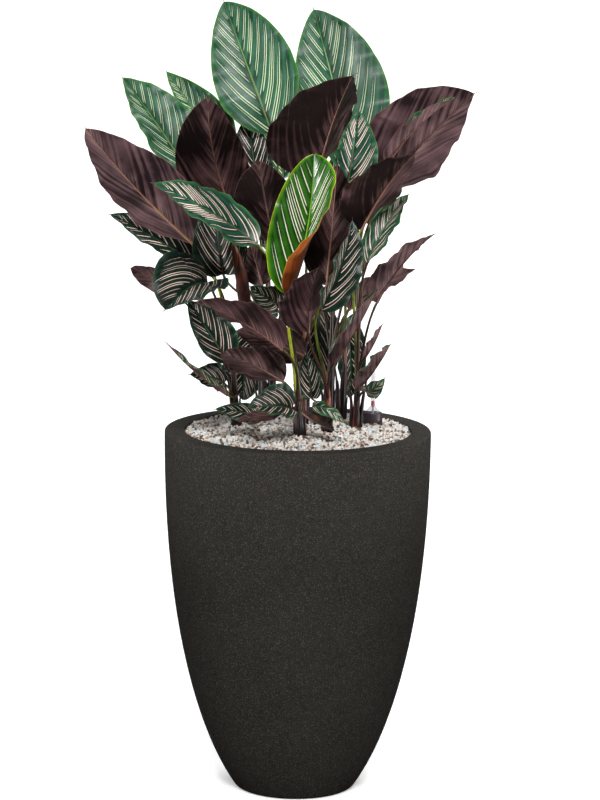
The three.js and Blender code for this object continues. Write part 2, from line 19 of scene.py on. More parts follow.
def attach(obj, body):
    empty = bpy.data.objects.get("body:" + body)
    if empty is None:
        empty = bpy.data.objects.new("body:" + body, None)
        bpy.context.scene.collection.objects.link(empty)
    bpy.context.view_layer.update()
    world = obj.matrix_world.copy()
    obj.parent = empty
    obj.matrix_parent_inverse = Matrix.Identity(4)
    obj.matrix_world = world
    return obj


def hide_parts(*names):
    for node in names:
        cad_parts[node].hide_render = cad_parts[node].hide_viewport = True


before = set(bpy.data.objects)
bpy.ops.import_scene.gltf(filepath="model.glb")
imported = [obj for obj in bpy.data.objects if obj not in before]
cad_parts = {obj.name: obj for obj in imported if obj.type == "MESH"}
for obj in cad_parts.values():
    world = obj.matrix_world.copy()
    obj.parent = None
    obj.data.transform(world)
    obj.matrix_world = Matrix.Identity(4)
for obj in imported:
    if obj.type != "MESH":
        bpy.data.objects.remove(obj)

MM = 0.001
FULL_TURN = 2 * math.pi
BODY = "root"
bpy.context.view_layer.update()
LOG = logging.getLogger("calathea")
SHARP_ANGLE = math.radians(50)
STORED = ("lamina", "edge")
VEINS_IN_GROUP = 14.0
SIDE_SEED = 57.0
GOLDEN_TURN = 0.381966
LAST_SHARE = 0.9998


# Number helpers


def unit(vectors: np.ndarray) -> np.ndarray:
    """Vectors scaled to length 1 along the last axis."""
    length = np.linalg.norm(vectors, axis=-1, keepdims=True)
    return vectors / np.maximum(length, 1e-12)


def turned_about(vectors: np.ndarray, axes: np.ndarray, angle: np.ndarray | float) -> np.ndarray:
    """Turns vectors about unit axes by Rodrigues' formula.

    Args:
        vectors: the vectors, on the last axis.
        axes: the unit axes, broadcast against them.
        angle: the angles in radians, broadcast against both.

    Returns:
        The turned vectors: v cos a + (axis x v) sin a + axis (axis . v)(1 - cos a).
    """
    cosine = np.asarray(np.cos(angle))[..., None]
    sine = np.asarray(np.sin(angle))[..., None]
    lengthwise = (vectors * axes).sum(-1, keepdims=True) * axes
    return vectors * cosine + np.cross(axes, vectors) * sine + lengthwise * (1 - cosine)


def smooth_step(low: float, high: float, values: np.ndarray) -> np.ndarray:
    """0 below low, 1 above high, and the cubic 3t^2 - 2t^3 between them."""
    share = np.clip((values - low) / (high - low), 0, 1)
    return share * share * (3 - 2 * share)


def bezier(points: np.ndarray, share: np.ndarray) -> np.ndarray:
    """Points of a cubic Bezier curve.

    Args:
        points: its four control points.
        share: where along it, from 0 to 1.

    Returns:
        One point for each share: the control points weighted by the Bernstein polynomials.
    """
    rest = 1 - share
    weights = np.stack([rest**3, 3 * rest**2 * share, 3 * rest * share**2, share**3], 1)
    return weights @ points


# Meshes


@dataclass
class Skin:
    """Points and faces of a part of a mesh, with what its finish reads at each point."""

    points: np.ndarray
    faces: list[np.ndarray]
    finish: int = 0
    lamina: np.ndarray | None = None
    edge: np.ndarray | None = None


def grid_quads(rows: int, columns: int, first: int = 0, wrap: bool = False) -> np.ndarray:
    """Quads of a grid of points, row by row.

    Args:
        rows: rows of points.
        columns: points in a row.
        first: number of the grid's first point.
        wrap: whether the last column joins the first.

    Returns:
        One row of four point numbers a quad, anticlockwise from the side of column x row.
    """
    row = np.arange(rows - 1)[:, None] * columns
    near = np.arange(columns if wrap else columns - 1)[None, :]
    far = (near + 1) % columns
    corners = [row + near, row + far, row + columns + far, row + columns + near]
    return np.stack(corners, -1).reshape(-1, 4) + first


def tube_skin(rings: np.ndarray, finish: int = 0, tone: float = 0.5, closed: bool = True) -> Skin:
    """A skin over rings of points, each closed on itself, with fans over both ends.

    Args:
        rings: points as (rings, sides, 3).
        finish: number of its finish on the piece.
        tone: a share from 0 to 1 that its finish reads.
        closed: whether the ends are closed.

    Returns:
        The skin. lamina holds the share round, the share along and the tone.
    """
    count, sides, _ = rings.shape
    points = rings.reshape(-1, 3)
    faces = [grid_quads(count, sides, wrap=True)]
    along = np.repeat(np.linspace(0, 1, count), sides)
    around = np.tile(np.arange(sides) / sides, count)
    if closed:
        ends = np.stack([rings[0].mean(0), rings[-1].mean(0)])
        points = np.concatenate([points, ends])
        near = np.arange(sides)
        far = (near + 1) % sides
        last = (count - 1) * sides
        start = np.stack([far, near, np.full(sides, count * sides)], 1)
        end = np.stack([last + near, last + far, np.full(sides, count * sides + 1)], 1)
        faces.append(np.concatenate([start, end]))
        along = np.append(along, [0, 1])
        around = np.append(around, [0, 0])
    lamina = np.stack([around, along, np.full(len(points), tone)], 1)
    return Skin(points, faces, finish, lamina)


def swept_rings(path: np.ndarray, radii: np.ndarray, sides: int) -> np.ndarray:
    """Rings of points about a path.

    Args:
        path: the points of the path.
        radii: the radius at each of them, as (points,) or (points, sides).
        sides: points in a ring.

    Returns:
        Points as (path, sides, 3). Each ring stands square to the path, turned the same way.
    """
    tangent = unit(np.gradient(path, axis=0))
    spare = np.zeros(3)
    spare[np.abs(tangent).max(0).argmin()] = 1
    side = unit(np.cross(tangent, spare))
    other = np.cross(tangent, side)
    angle = np.arange(sides) / sides * FULL_TURN
    spread = np.asarray(radii, float)
    if spread.ndim == 1:
        spread = spread[:, None]
    spread = spread[..., None]
    return path[:, None] + spread * (
        np.cos(angle)[None, :, None] * side[:, None] + np.sin(angle)[None, :, None] * other[:, None]
    )


def turned_rings(profile: list[tuple[float, float]], sides: int, centre: tuple[float, float]) -> np.ndarray:
    """Rings of a turned shape about an upright axis.

    Args:
        profile: its (radius, height) points.
        sides: points in a ring.
        centre: where the axis stands.

    Returns:
        Points as (profile, sides, 3).
    """
    radius, height = np.array(profile, float).T
    angle = np.arange(sides) / sides * FULL_TURN
    x = centre[0] + radius[:, None] * np.cos(angle)
    y = centre[1] + radius[:, None] * np.sin(angle)
    return np.stack([x, y, np.broadcast_to(height[:, None], x.shape)], -1)


def rounded_profile(
    corners: list[tuple[float, float, float]], steps: int = 5
) -> list[tuple[float, float]]:
    """A profile whose corners are rounded off by quadratic curves.

    Args:
        corners: (radius, height, how far the rounding reaches along both sides).
        steps: pieces of each rounding.

    Returns:
        Its (radius, height) points. A rounding runs from a through the corner c to b as
        a(1-t)^2 + 2ct(1-t) + bt^2.
    """
    profile = []
    for before, (x, z, reach), after in zip([corners[0], *corners], corners, [*corners[1:], corners[-1]]):
        corner = np.array((x, z))
        if reach == 0:
            profile.append((x, z))
            continue
        start = corner + unit(np.array(before[:2]) - corner) * reach
        end = corner + unit(np.array(after[:2]) - corner) * reach
        share = np.linspace(0, 1, steps + 1)[:, None]
        curve = start * (1 - share) ** 2 + 2 * corner * share * (1 - share) + end * share**2
        profile.extend(map(tuple, curve))
    return profile


def make_piece(
    name: str, skins: list[Skin], finishes: list[bpy.types.Material], nodes: tuple[str, ...]
) -> bpy.types.Object:
    """Joins skins into one object, with smooth faces that are sharp past 50 degrees.

    Args:
        name: the object's name.
        skins: its skins, in millimetres.
        finishes: the materials that the skins number.
        nodes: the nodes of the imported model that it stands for.

    Returns:
        The object. It sits at the origin and rides on the part's one body.
    """
    points = np.concatenate([skin.points for skin in skins]) * MM
    starts = np.cumsum([0] + [len(skin.points) for skin in skins])
    blocks = [(faces + first, skin.finish) for skin, first in zip(skins, starts) for faces in skin.faces]
    corners = np.concatenate([faces.ravel() for faces, _ in blocks]).astype(np.int32)
    sizes = np.concatenate([np.full(len(faces), faces.shape[1]) for faces, _ in blocks])
    slots = np.concatenate([np.full(len(faces), finish) for faces, finish in blocks]).astype(np.int32)
    mesh = bpy.data.meshes.new(name)
    mesh.vertices.add(len(points))
    mesh.vertices.foreach_set("co", points.astype(np.float32).ravel())
    mesh.loops.add(len(corners))
    mesh.loops.foreach_set("vertex_index", corners)
    mesh.polygons.add(len(sizes))
    mesh.polygons.foreach_set("loop_start", np.append(0, np.cumsum(sizes)[:-1]).astype(np.int32))
    mesh.polygons.foreach_set("material_index", slots)
    mesh.polygons.foreach_set("use_smooth", np.ones(len(sizes), bool))
    for label in STORED:
        parts = [getattr(skin, label) for skin in skins]
        if any(part is not None for part in parts):
            filled = [
                np.zeros((len(skin.points), 3)) if part is None else part for skin, part in zip(skins, parts)
            ]
            values = mesh.attributes.new(label, "FLOAT_VECTOR", "POINT")
            values.data.foreach_set("vector", np.concatenate(filled).astype(np.float32).ravel())
    mesh.update()
    mesh.validate()
    mesh.set_sharp_from_angle(angle=SHARP_ANGLE)
    for finish in finishes:
        mesh.materials.append(finish)
    piece = bpy.data.objects.new(name, mesh)
    bpy.context.scene.collection.objects.link(piece)
    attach(piece, BODY)
    if nodes:
        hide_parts(*nodes)
    LOG.info("%s: %d points, %d faces", name, len(points), len(sizes))
    return piece


# Finishes


# What adds a node to the tree of one material
AddNode = Callable[..., bpy.types.Node]


def linear(hex_colour: str) -> tuple[float, float, float, float]:
    """An sRGB hex colour as linear light: c/12.92 up to 0.04045, else ((c + 0.055)/1.055)^2.4."""
    channels = [int(hex_colour[k : k + 2], 16) / 255 for k in (0, 2, 4)]
    red, green, blue = (c / 12.92 if c <= 0.04045 else ((c + 0.055) / 1.055) ** 2.4 for c in channels)
    return red, green, blue, 1.0


def add_node(tree: bpy.types.NodeTree, kind: str, *inputs: object, **named: object) -> bpy.types.Node:
    """Adds a node to a tree.

    Args:
        tree: the node tree.
        kind: the node's type, without the word ShaderNode.
        inputs: what goes into its open inputs, in their order: a value, a colour in hex, an
            output, or a node, which feeds by its first open output.
        named: the same for an input by its name, with _ for a space, and the node's own
            settings, which start with a small letter.

    Returns:
        The node.
    """
    made = tree.nodes.new("ShaderNode" + kind)
    for setting in [name for name in named if name[0].islower()]:
        setattr(made, setting, named.pop(setting))
    sources = {made.inputs[name.replace("_", " ")]: source for name, source in named.items()}
    sources.update(zip([socket for socket in made.inputs if socket.enabled], inputs))
    for socket, source in sources.items():
        if isinstance(source, bpy.types.Node):
            source = next(output for output in source.outputs if output.enabled)
        if isinstance(source, bpy.types.NodeSocket):
            tree.links.new(source, socket)
        else:
            socket.default_value = linear(source) if isinstance(source, str) else source
    return made


def new_material(name: str) -> tuple[bpy.types.Material, AddNode]:
    """An empty material of that name, and add_node for its tree."""
    material = bpy.data.materials.new(name)
    material.use_nodes = True
    material.node_tree.nodes.clear()
    return material, partial(add_node, material.node_tree)


def finish_surface(add: AddNode, **inputs: object) -> None:
    """Ends a tree with the Principled shader, fed by name, and the output."""
    add("OutputMaterial", Surface=add("BsdfPrincipled", **inputs))


@dataclass(frozen=True)
class UpperFace:
    """The striped upper face of a blade: a satin cuticle over green tissue.

    The stripes lie in groups along the side veins. A group is as wide as its lanes, with a line in
    each of the first 2 of them, or in the most lines for a share of the groups. A line is a brush
    stroke that starts near the midrib and thins out between the shortest and the longest reach to
    the margin. The tissue is clouded every 22 mm, and the side veins are about 1.5 mm apart.
    """

    name: str
    deep: str
    light: str
    margin: str
    rim: str
    rib: str
    stripe: str
    stripe_warm: str
    roughness: float = 0.4
    lanes: float = 4.0
    most_lines: float = 3.0
    wide_share: float = 0.4
    line_width: float = 0.3
    haze: float = 0.25
    specular: float = 0.3
    shortest: float = 0.72
    longest: float = 0.96

    def build(self) -> bpy.types.Material:
        """The material, which reads lamina (across, share, phase) and edge (mm from rib, margin)."""
        material, add = new_material(self.name)
        lamina, edge = (add("Attribute", attribute_name=label).outputs["Vector"] for label in STORED)
        across, share, phase = add("SeparateXYZ", lamina).outputs
        from_rib, from_margin, _ = add("SeparateXYZ", edge).outputs
        place = add("TexCoord").outputs["Object"]
        cloud = add("TexNoise", Vector=place, Scale=45.0, Detail=4.0)
        grain = add("TexNoise", Vector=place, Scale=420.0, Detail=2.0)
        # Bands along the vein groups, lighter and darker: the leaf's own tone with painted shade of the
        # pleats.
        turn = add("Math", phase, FULL_TURN, operation="MULTIPLY")
        wave = add("Math", turn, operation="COSINE")
        vein_band_and_painted_shade = add("MapRange", wave, 0.3, -0.8, interpolation_type="SMOOTHSTEP")
        cloudy = add("MapRange", cloud, 0.35, 0.65, 0.0, 0.35)
        lightness = add("Math", vein_band_and_painted_shade, 0.65, cloudy, operation="MULTIPLY_ADD")
        colour = add("Mix", lightness, self.deep, self.light, data_type="RGBA")
        near_margin = add("MapRange", from_margin, 7.0, 0.8, 0.0, 0.85, interpolation_type="SMOOTHSTEP")
        lines, group = self.lines(add, across, share, phase, grain)
        hazed = add("Math", group, self.haze, operation="MULTIPLY")
        tint = add("Mix", cloud, self.stripe, self.stripe_warm, data_type="RGBA")
        rib_radius = add("MapRange", share, 0.0, 1.0, 1.5, 0.5)
        beside = add("Math", from_rib, rib_radius, operation="SUBTRACT")
        on_rib = add("MapRange", beside, 0.25, -0.25)
        fading = add("MapRange", share, 0.55, 1.0, 1.0, 0.35)
        on_rib = add("Math", on_rib, fading, operation="MULTIPLY")
        on_rim = add("MapRange", from_margin, 0.9, 0.5)
        layers = (
            (near_margin, self.margin),
            (hazed, self.stripe_warm),
            (lines, tint),
            (on_rib, self.rib),
            (on_rim, self.rim),
        )
        for cover, over in layers:
            colour = add("Mix", cover, colour, over, data_type="RGBA")
        veins = add("Math", phase, VEINS_IN_GROUP, operation="MULTIPLY")
        veins = add("Math", veins, 0.5, operation="PINGPONG")
        height = add("Math", grain, 0.4, veins, operation="MULTIPLY_ADD")
        bump = add("Bump", Strength=0.2, Distance=0.4 * MM, Height=height)
        gloss = add("MapRange", cloud, 0.3, 0.7, self.roughness - 0.06, self.roughness + 0.1)
        finish_surface(add, Base_Color=colour, Roughness=gloss, Normal=bump, Specular_IOR_Level=self.specular)
        return material

    def lines(
        self,
        add: AddNode,
        across: bpy.types.NodeSocket,
        share: bpy.types.NodeSocket,
        phase: bpy.types.NodeSocket,
        grain: bpy.types.Node,
    ) -> tuple[bpy.types.Node, bpy.types.Node]:
        """The stripes. SIDE_SEED keeps the chances of the two halves apart.

        Args:
            add: adds a node to the material's tree.
            across: -1 at the left margin, 1 at the right one.
            share: 0 at the base, 1 at the tip.
            phase: the number of groups passed, which is level along each side vein.
            grain: a fine noise that roughens the strokes.

        Returns:
            How far a point is on a line, and how far it is in a group of lines, both 0 to 1.
        """
        outward = add("Math", across, operation="ABSOLUTE")
        side = add("Math", across, 0.0, operation="GREATER_THAN")
        lanes = add("Math", phase, self.lanes, 1.0, operation="MULTIPLY_ADD")
        lane = add("Math", lanes, operation="FLOOR")
        offset = add("Math", lanes, 0.5, operation="ADD")
        offset = add("Math", offset, 0.5, operation="PINGPONG")
        place = add("Math", lane, self.lanes, operation="FLOORED_MODULO")
        cell = add("Math", lane, self.lanes, operation="DIVIDE")
        cell = add("Math", cell, operation="FLOOR")
        cell = add("Math", side, SIDE_SEED, cell, operation="MULTIPLY_ADD")
        chance = add("TexWhiteNoise", W=cell, noise_dimensions="1D")
        wide = add("Math", chance, 1 - self.wide_share, operation="GREATER_THAN")
        drawn_lanes = add("Math", wide, self.most_lines - 2, 1.5, operation="MULTIPLY_ADD")
        drawn = add("Math", place, drawn_lanes, operation="LESS_THAN")
        seed = add("Math", side, SIDE_SEED + 0.37, lane, operation="MULTIPLY_ADD")
        dice = add("TexWhiteNoise", W=seed, noise_dimensions="1D").outputs["Color"]
        first, second, third = add("SeparateColor", dice).outputs
        start = add("MapRange", first, 0.0, 1.0, 0.03, 0.15)
        begun = add("Math", start, 0.05, operation="ADD")
        end = add("MapRange", second, 0.0, 1.0, self.shortest, self.longest)
        thin = add("Math", end, 0.3, operation="SUBTRACT")
        rise = add("MapRange", outward, start, begun)
        fall = add("MapRange", outward, end, thin)
        stroke = add("Math", rise, fall, operation="MULTIPLY")
        stroke = add("Math", stroke, 0.5, operation="POWER")
        before_tip = add("MapRange", share, 0.97, 0.86)
        stroke = add("Math", stroke, before_tip, operation="MULTIPLY")
        rough = add("MapRange", grain, 0.3, 0.7, 0.9, 1.06)
        width = add("MapRange", third, 0.0, 1.0, self.line_width * 0.7, self.line_width * 1.25)
        for part in (stroke, rough):
            width = add("Math", width, part, operation="MULTIPLY")
        inner = add("Math", width, 0.04, operation="SUBTRACT")
        line = add("MapRange", offset, width, inner)
        line = add("Math", line, drawn, operation="MULTIPLY")
        group = add("Math", drawn, stroke, operation="MULTIPLY")
        return line, group


@dataclass(frozen=True)
class UnderFace:
    """The purple back of a blade: a fine velvety skin, with painted light by the midrib and painted light and
    shade on the folds.

    The skin is matt with a soft sheen, clouded every 60 mm, and its side veins show as raised
    lines 1.5 mm apart. A higher onset leaves more of it deep. Painted highlights run out from the midrib as
    pale streaks.
    """

    name: str
    deep: str
    light: str
    rim: str
    onset: float = 0.5
    # Colour of the painted highlights that streak out from the midrib.
    streak: str = "c4a49a"
    roughness: float = 0.46
    specular: float = 0.3
    sheen: float = 0.12
    sheen_tint: str = "d8b0a8"

    def build(self) -> bpy.types.Material:
        """The material, which reads lamina (across, share, phase) and edge (mm from rib, margin)."""
        material, add = new_material(self.name)
        lamina, edge = (add("Attribute", attribute_name=label).outputs["Vector"] for label in STORED)
        _, _, phase = add("SeparateXYZ", lamina).outputs
        from_rib, from_margin, _ = add("SeparateXYZ", edge).outputs
        place = add("TexCoord").outputs["Object"]
        cloud = add("TexNoise", Vector=place, Scale=16.0, Detail=3.0)
        grain = add("TexNoise", Vector=place, Scale=500.0, Detail=2.0)
        fibre = add("TexNoise", W=phase, Scale=2.2, Detail=1.5, noise_dimensions="1D")
        # Painted light and shade on the pleats: the colour swings lighter and darker with the sine of the
        # vein groups, over the skin's own clouded tone.
        turn = add("Math", phase, FULL_TURN, operation="MULTIPLY")
        fold = add("Math", turn, operation="SINE")
        # Painted highlight: the back turns lighter towards the midrib.
        painted_light_by_rib = add("MapRange", from_rib, 22.0, 2.0, 0.0, 0.06, interpolation_type="SMOOTHSTEP")
        blend = add("Math", fibre, 0.45, cloud, operation="MULTIPLY_ADD")
        blend = add("Math", fold, 0.05, blend, operation="MULTIPLY_ADD")
        blend = add("Math", blend, painted_light_by_rib, operation="ADD")
        tone_with_painted_light = add("MapRange", blend, self.onset, self.onset + 0.6)
        colour = add("Mix", tone_with_painted_light, self.deep, self.light, data_type="RGBA")
        # Painted highlights: pale streaks by the midrib, in place of lit folds.
        streak = add("TexNoise", W=phase, Scale=6.0, Detail=2.0, noise_dimensions="1D")
        streak = add("MapRange", streak, 0.46, 0.66, 0.0, 0.6)
        highlight_near_rib = add("MapRange", from_rib, 16.0, 3.0, interpolation_type="SMOOTHSTEP")
        for part in (highlight_near_rib, tone_with_painted_light):
            streak = add("Math", streak, part, operation="MULTIPLY")
        near_rib = add("MapRange", from_rib, 4.0, 1.0, 0.0, 0.15)
        on_rim = add("MapRange", from_margin, 1.0, 0.4, 0.0, 0.7)
        for cover, over in ((streak, self.streak), (near_rib, self.rim), (on_rim, self.rim)):
            colour = add("Mix", cover, colour, over, data_type="RGBA")
        veins = add("Math", phase, VEINS_IN_GROUP, operation="MULTIPLY")
        veins = add("Math", veins, 0.5, operation="PINGPONG")
        height = add("Math", grain, 0.5, veins, operation="MULTIPLY_ADD")
        bump = add("Bump", Strength=0.12, Distance=0.3 * MM, Height=height)
        gloss = add("MapRange", cloud, 0.3, 0.7, self.roughness - 0.05, self.roughness + 0.12)
        finish_surface(
            add,
            Base_Color=colour,
            Roughness=gloss,
            Normal=bump,
            Specular_IOR_Level=self.specular,
            Specular_Tint=self.sheen_tint,
            Sheen_Weight=self.sheen,
            Sheen_Roughness=0.5,
            Sheen_Tint=self.sheen_tint,
        )
        return material


@dataclass(frozen=True)
class StalkSkin:
    """The smooth fleshy skin of stalks, midribs and sheaths, with fine streaks along it.

    The tone picks a colour from the ramp, which runs from the foot's to the blade's. The streaks
    are about 1 mm apart and 25 mm long, and the blotches 17 mm.
    """

    name: str
    ramp: tuple[tuple[float, str], ...]
    foot_shade: float = 0.3
    roughness: float = 0.42
    streaks: float = 0.16

    def build(self) -> bpy.types.Material:
        """The material, which reads lamina (share round, share along, tone)."""
        material, add = new_material(self.name)
        lamina = add("Attribute", attribute_name="lamina").outputs["Vector"]
        _, along, tone = add("SeparateXYZ", lamina).outputs
        shade = add("MapRange", along, 0.0, 0.8, -self.foot_shade, 0.06)
        place = add("TexCoord").outputs["Object"]
        stretched = add("Mapping", Vector=place, Scale=(900.0, 900.0, 40.0))
        streak = add("TexNoise", Vector=stretched, Scale=1.0, Detail=3.0)
        blotch = add("TexNoise", Vector=place, Scale=60.0, Detail=3.0)
        mixed = add("Math", streak, blotch, operation="ADD")
        spread = add("MapRange", mixed, 0.7, 1.3, -self.streaks, self.streaks)
        pick = add("Math", tone, shade, operation="ADD")
        pick = add("Math", pick, spread, operation="ADD")
        ramp = add("ValToRGB", pick)
        marks = ramp.color_ramp.elements
        while len(marks) < len(self.ramp):
            marks.new(0.5)
        for mark, (position, hex_colour) in zip(marks, self.ramp):
            mark.position = position
            mark.color = linear(hex_colour)
        bump = add("Bump", Strength=0.3, Distance=0.3 * MM, Height=streak)
        finish_surface(add, Base_Color=ramp, Roughness=self.roughness, Normal=bump, IOR=1.42)
        return material


@dataclass(frozen=True)
class DryBlade:
    """A withered blade: papery brown tissue, wrinkled along its side veins."""

    name: str = "dry_papery_leaf"
    dark: str = "120a08"
    light: str = "6e4020"

    def build(self) -> bpy.types.Material:
        """The material, which reads the phase of the side veins from lamina."""
        material, add = new_material(self.name)
        lamina = add("Attribute", attribute_name="lamina").outputs["Vector"]
        _, _, phase = add("SeparateXYZ", lamina).outputs
        place = add("TexCoord").outputs["Object"]
        cloud = add("TexNoise", Vector=place, Scale=70.0, Detail=6.0)
        fibre = add("TexNoise", W=phase, Scale=14.0, Detail=3.0, noise_dimensions="1D")
        blend = add("Math", cloud, fibre, operation="MULTIPLY")
        share = add("MapRange", blend, 0.26, 0.5)
        colour = add("Mix", share, self.dark, self.light, data_type="RGBA")
        bump = add("Bump", Strength=0.7, Distance=0.8 * MM, Height=blend)
        finish_surface(add, Base_Color=colour, Roughness=0.85, Normal=bump)
        return material


@dataclass(frozen=True)
class GrittyComposite:
    """Cast stone and fibre composite, left matt: fine grit with pale and rusty specks.

    The grit is 2 mm. The pale specks are up to 1.6 mm, about 4 mm apart, and the rusty ones up
    to 1.9 mm, about 7 mm apart. All are drawn a little coarser than real, or they wouldn't show.
    """

    name: str
    dark: str
    light: str
    speck: str
    rust: str
    roughness: float = 0.85
    specular: float = 0.12
    relief: float = 0.0005
    speck_cells: float = 430.0
    rust_cells: float = 300.0

    def build(self) -> bpy.types.Material:
        """The material, on Object coordinates."""
        material, add = new_material(self.name)
        place = add("TexCoord").outputs["Object"]
        grit = add("TexNoise", Vector=place, Scale=520.0, Detail=3.0)
        cloud = add("TexNoise", Vector=place, Scale=14.0, Detail=4.0)
        mottle = add("TexNoise", Vector=place, Scale=130.0, Detail=3.0)
        blend = add("Math", mottle, 0.25, grit, operation="MULTIPLY_ADD")
        blend = add("Math", cloud, 0.18, blend, operation="MULTIPLY_ADD")
        share = add("MapRange", blend, 0.42, 1.0)
        colour = add("Mix", share, self.dark, self.light, data_type="RGBA")
        heights = [share]
        kinds = ((self.speck_cells, 0.34, 0.6, self.speck), (self.rust_cells, 0.28, 0.75, self.rust))
        for scale, size, rarity, hex_colour in kinds:
            cells = add("TexVoronoi", Vector=place, Scale=scale)
            dot = add("MapRange", cells.outputs["Distance"], size, size * 0.5)
            chance = add("SeparateColor", cells.outputs["Color"])
            chosen = add("Math", chance, rarity, operation="GREATER_THAN")
            for part in (chosen, 0.5):
                dot = add("Math", dot, part, operation="MULTIPLY")
            colour = add("Mix", dot, colour, hex_colour, data_type="RGBA")
            heights.append(dot)
        height = add("Math", heights[0], heights[1], operation="ADD")
        bump = add("Bump", Strength=0.8, Distance=self.relief, Height=height)
        finish_surface(
            add, Base_Color=colour, Roughness=self.roughness, Normal=bump, Specular_IOR_Level=self.specular
        )
        return material


@dataclass(frozen=True)
class TumbledStone:
    """Washed gravel of one kind of stone: a dull tumbled skin with veins and spots.

    One pebble differs from the next by a coarse cell noise of 6 mm.
    """

    name: str
    dark: str
    light: str
    roughness: float = 0.6

    def build(self) -> bpy.types.Material:
        """The material, on Object coordinates."""
        material, add = new_material(self.name)
        place = add("TexCoord").outputs["Object"]
        each = add("TexVoronoi", Vector=place, Scale=165.0).outputs["Color"]
        each = add("SeparateColor", each)
        spot = add("TexNoise", Vector=place, Scale=600.0, Detail=4.0)
        blend = add("Math", each, 0.6, spot, operation="MULTIPLY_ADD")
        share = add("MapRange", blend, 0.45, 1.05)
        colour = add("Mix", share, self.dark, self.light, data_type="RGBA")
        bump = add("Bump", Strength=0.4, Distance=0.3 * MM, Height=spot)
        finish_surface(add, Base_Color=colour, Roughness=self.roughness, Normal=bump)
        return material


@dataclass(frozen=True)
class MouldedPlastic:
    """Injection-moulded plastic of the water gauge, with a faint moulding haze every 4 mm.

    A cover under 1 is a clear wall, so thin that light goes through it without a bend.
    """

    name: str
    colour: str
    roughness: float = 0.4
    cover: float = 1.0

    def build(self) -> bpy.types.Material:
        """The material, on Object coordinates."""
        material, add = new_material(self.name)
        place = add("TexCoord").outputs["Object"]
        haze = add("TexNoise", Vector=place, Scale=250.0, Detail=3.0)
        gloss = add("MapRange", haze, 0.3, 0.7, self.roughness * 0.8, self.roughness * 1.3)
        bump = add("Bump", Strength=0.2, Distance=0.1 * MM, Height=haze)
        finish_surface(add, Base_Color=self.colour, Roughness=gloss, Normal=bump, IOR=1.49, Alpha=self.cover)
        return material


class Look(Enum):
    """How a leaf's upper face and back are coloured."""

    CROWN = "crown"
    OUTER = "outer"
    PINK = "pink"
    DARK = "dark"
    # Inner leaves shown from the back; their backs are painted darker, as shade.
    DEEP = "deep"
    LIME = "lime"
    DRY = "dry"


UPPER_FACES = {
    Look.CROWN: UpperFace(
        "calathea_upper_crown", deep="103824", light="33694e", margin="35742c", rim="5a8a34",
        rib="7cb04c", stripe="dceac6", stripe_warm="bcd8a4", roughness=0.38, wide_share=0.45,
        line_width=0.22, haze=0.04, specular=0.45, shortest=0.6, longest=0.92,
    ),
    Look.PINK: UpperFace(
        "calathea_upper_pink", deep="0d2e20", light="245640", margin="28603a", rim="527c44",
        rib="3a7a4a", stripe="fff0e6", stripe_warm="f0ccbc", roughness=0.36, lanes=3.2,
        wide_share=0.6, line_width=0.22, haze=0.05,
    ),
    Look.DARK: UpperFace(
        "calathea_upper_dark", deep="04100c", light="102a1f", margin="183c2c", rim="3c5c34",
        rib="2a5438", stripe="fff0e4", stripe_warm="ecc8b8", roughness=0.36, lanes=2.6,
        most_lines=2.0, wide_share=0.0, line_width=0.15, haze=0.02,
    ),
    Look.OUTER: UpperFace(
        "calathea_upper_outer", deep="0a2418", light="1c4630", margin="225036", rim="486e3c",
        rib="32683e", stripe="f0dccc", stripe_warm="d6b0a0", roughness=0.36, lanes=3.0,
        wide_share=0.3, line_width=0.17, haze=0.04,
    ),
    Look.DEEP: UpperFace(
        "calathea_upper_deep", deep="081a12", light="183a28", margin="1e442e", rim="40643a",
        rib="2c5c3a", stripe="ecd4c4", stripe_warm="cca494", roughness=0.36, lanes=3.0,
        wide_share=0.3, line_width=0.16, haze=0.03,
    ),
    Look.LIME: UpperFace(
        "calathea_upper_young", deep="103e08", light="2e6c0c", margin="5f9a16", rim="c6d024",
        rib="8cc428", stripe="fff8e8", stripe_warm="f2ecd0", roughness=0.24, lanes=3.2,
        wide_share=0.2, line_width=0.21, haze=0.0, specular=0.5,
    ),
}

UNDER_FACES = {
    Look.CROWN: UnderFace("calathea_back_crown", deep="22151a", light="7c5e5c", rim="6a4638"),
    Look.OUTER: UnderFace("calathea_back_mauve", deep="160e12", light="86666a", rim="765450", onset=0.56),
    Look.PINK: UnderFace("calathea_back_aubergine", deep="12090d", light="7a5658", rim="6a4a42", onset=0.62),
    Look.DARK: UnderFace("calathea_back_dark", deep="140b0f", light="6c4a4e", rim="644840", onset=0.58),
    # Backs of the inner leaves: their own purple, painted near-black as the shade inside the plant.
    Look.DEEP: UnderFace("calathea_back_inner_painted_shade", deep="0a0507", light="7c585a", rim="5c443e", onset=0.72),
    Look.LIME: UnderFace(
        "calathea_back_young", deep="84340f", light="c06a30", rim="c8a030", roughness=0.34,
        sheen_tint="e8b890",
    ),
}

MIDRIB_RAMP = ((0.0, "24141a"), (0.4, "472a2a"), (0.7, "946656"), (1.0, "a08c48"))
STALK_RAMP = ((0.0, "1c1014"), (0.3, "3c2018"), (0.5, "46401c"), (0.7, "5a6a24"), (1.0, "b4c02c"))
SHEATH_RAMP = ((0.0, "160c11"), (0.4, "2a171b"), (0.7, "4e2822"), (0.9, "8c4c3a"), (1.0, "c07c6a"))
THREAD_RAMP = ((0.0, "2a1c18"), (1.0, "5a4030"))
ROLLED_RAMP = ((0.0, "2a1618"), (0.35, "3c1e1c"), (0.6, "6e3418"), (0.85, "9a4c22"), (1.0, "6a7a30"))


# Shoots and leaves


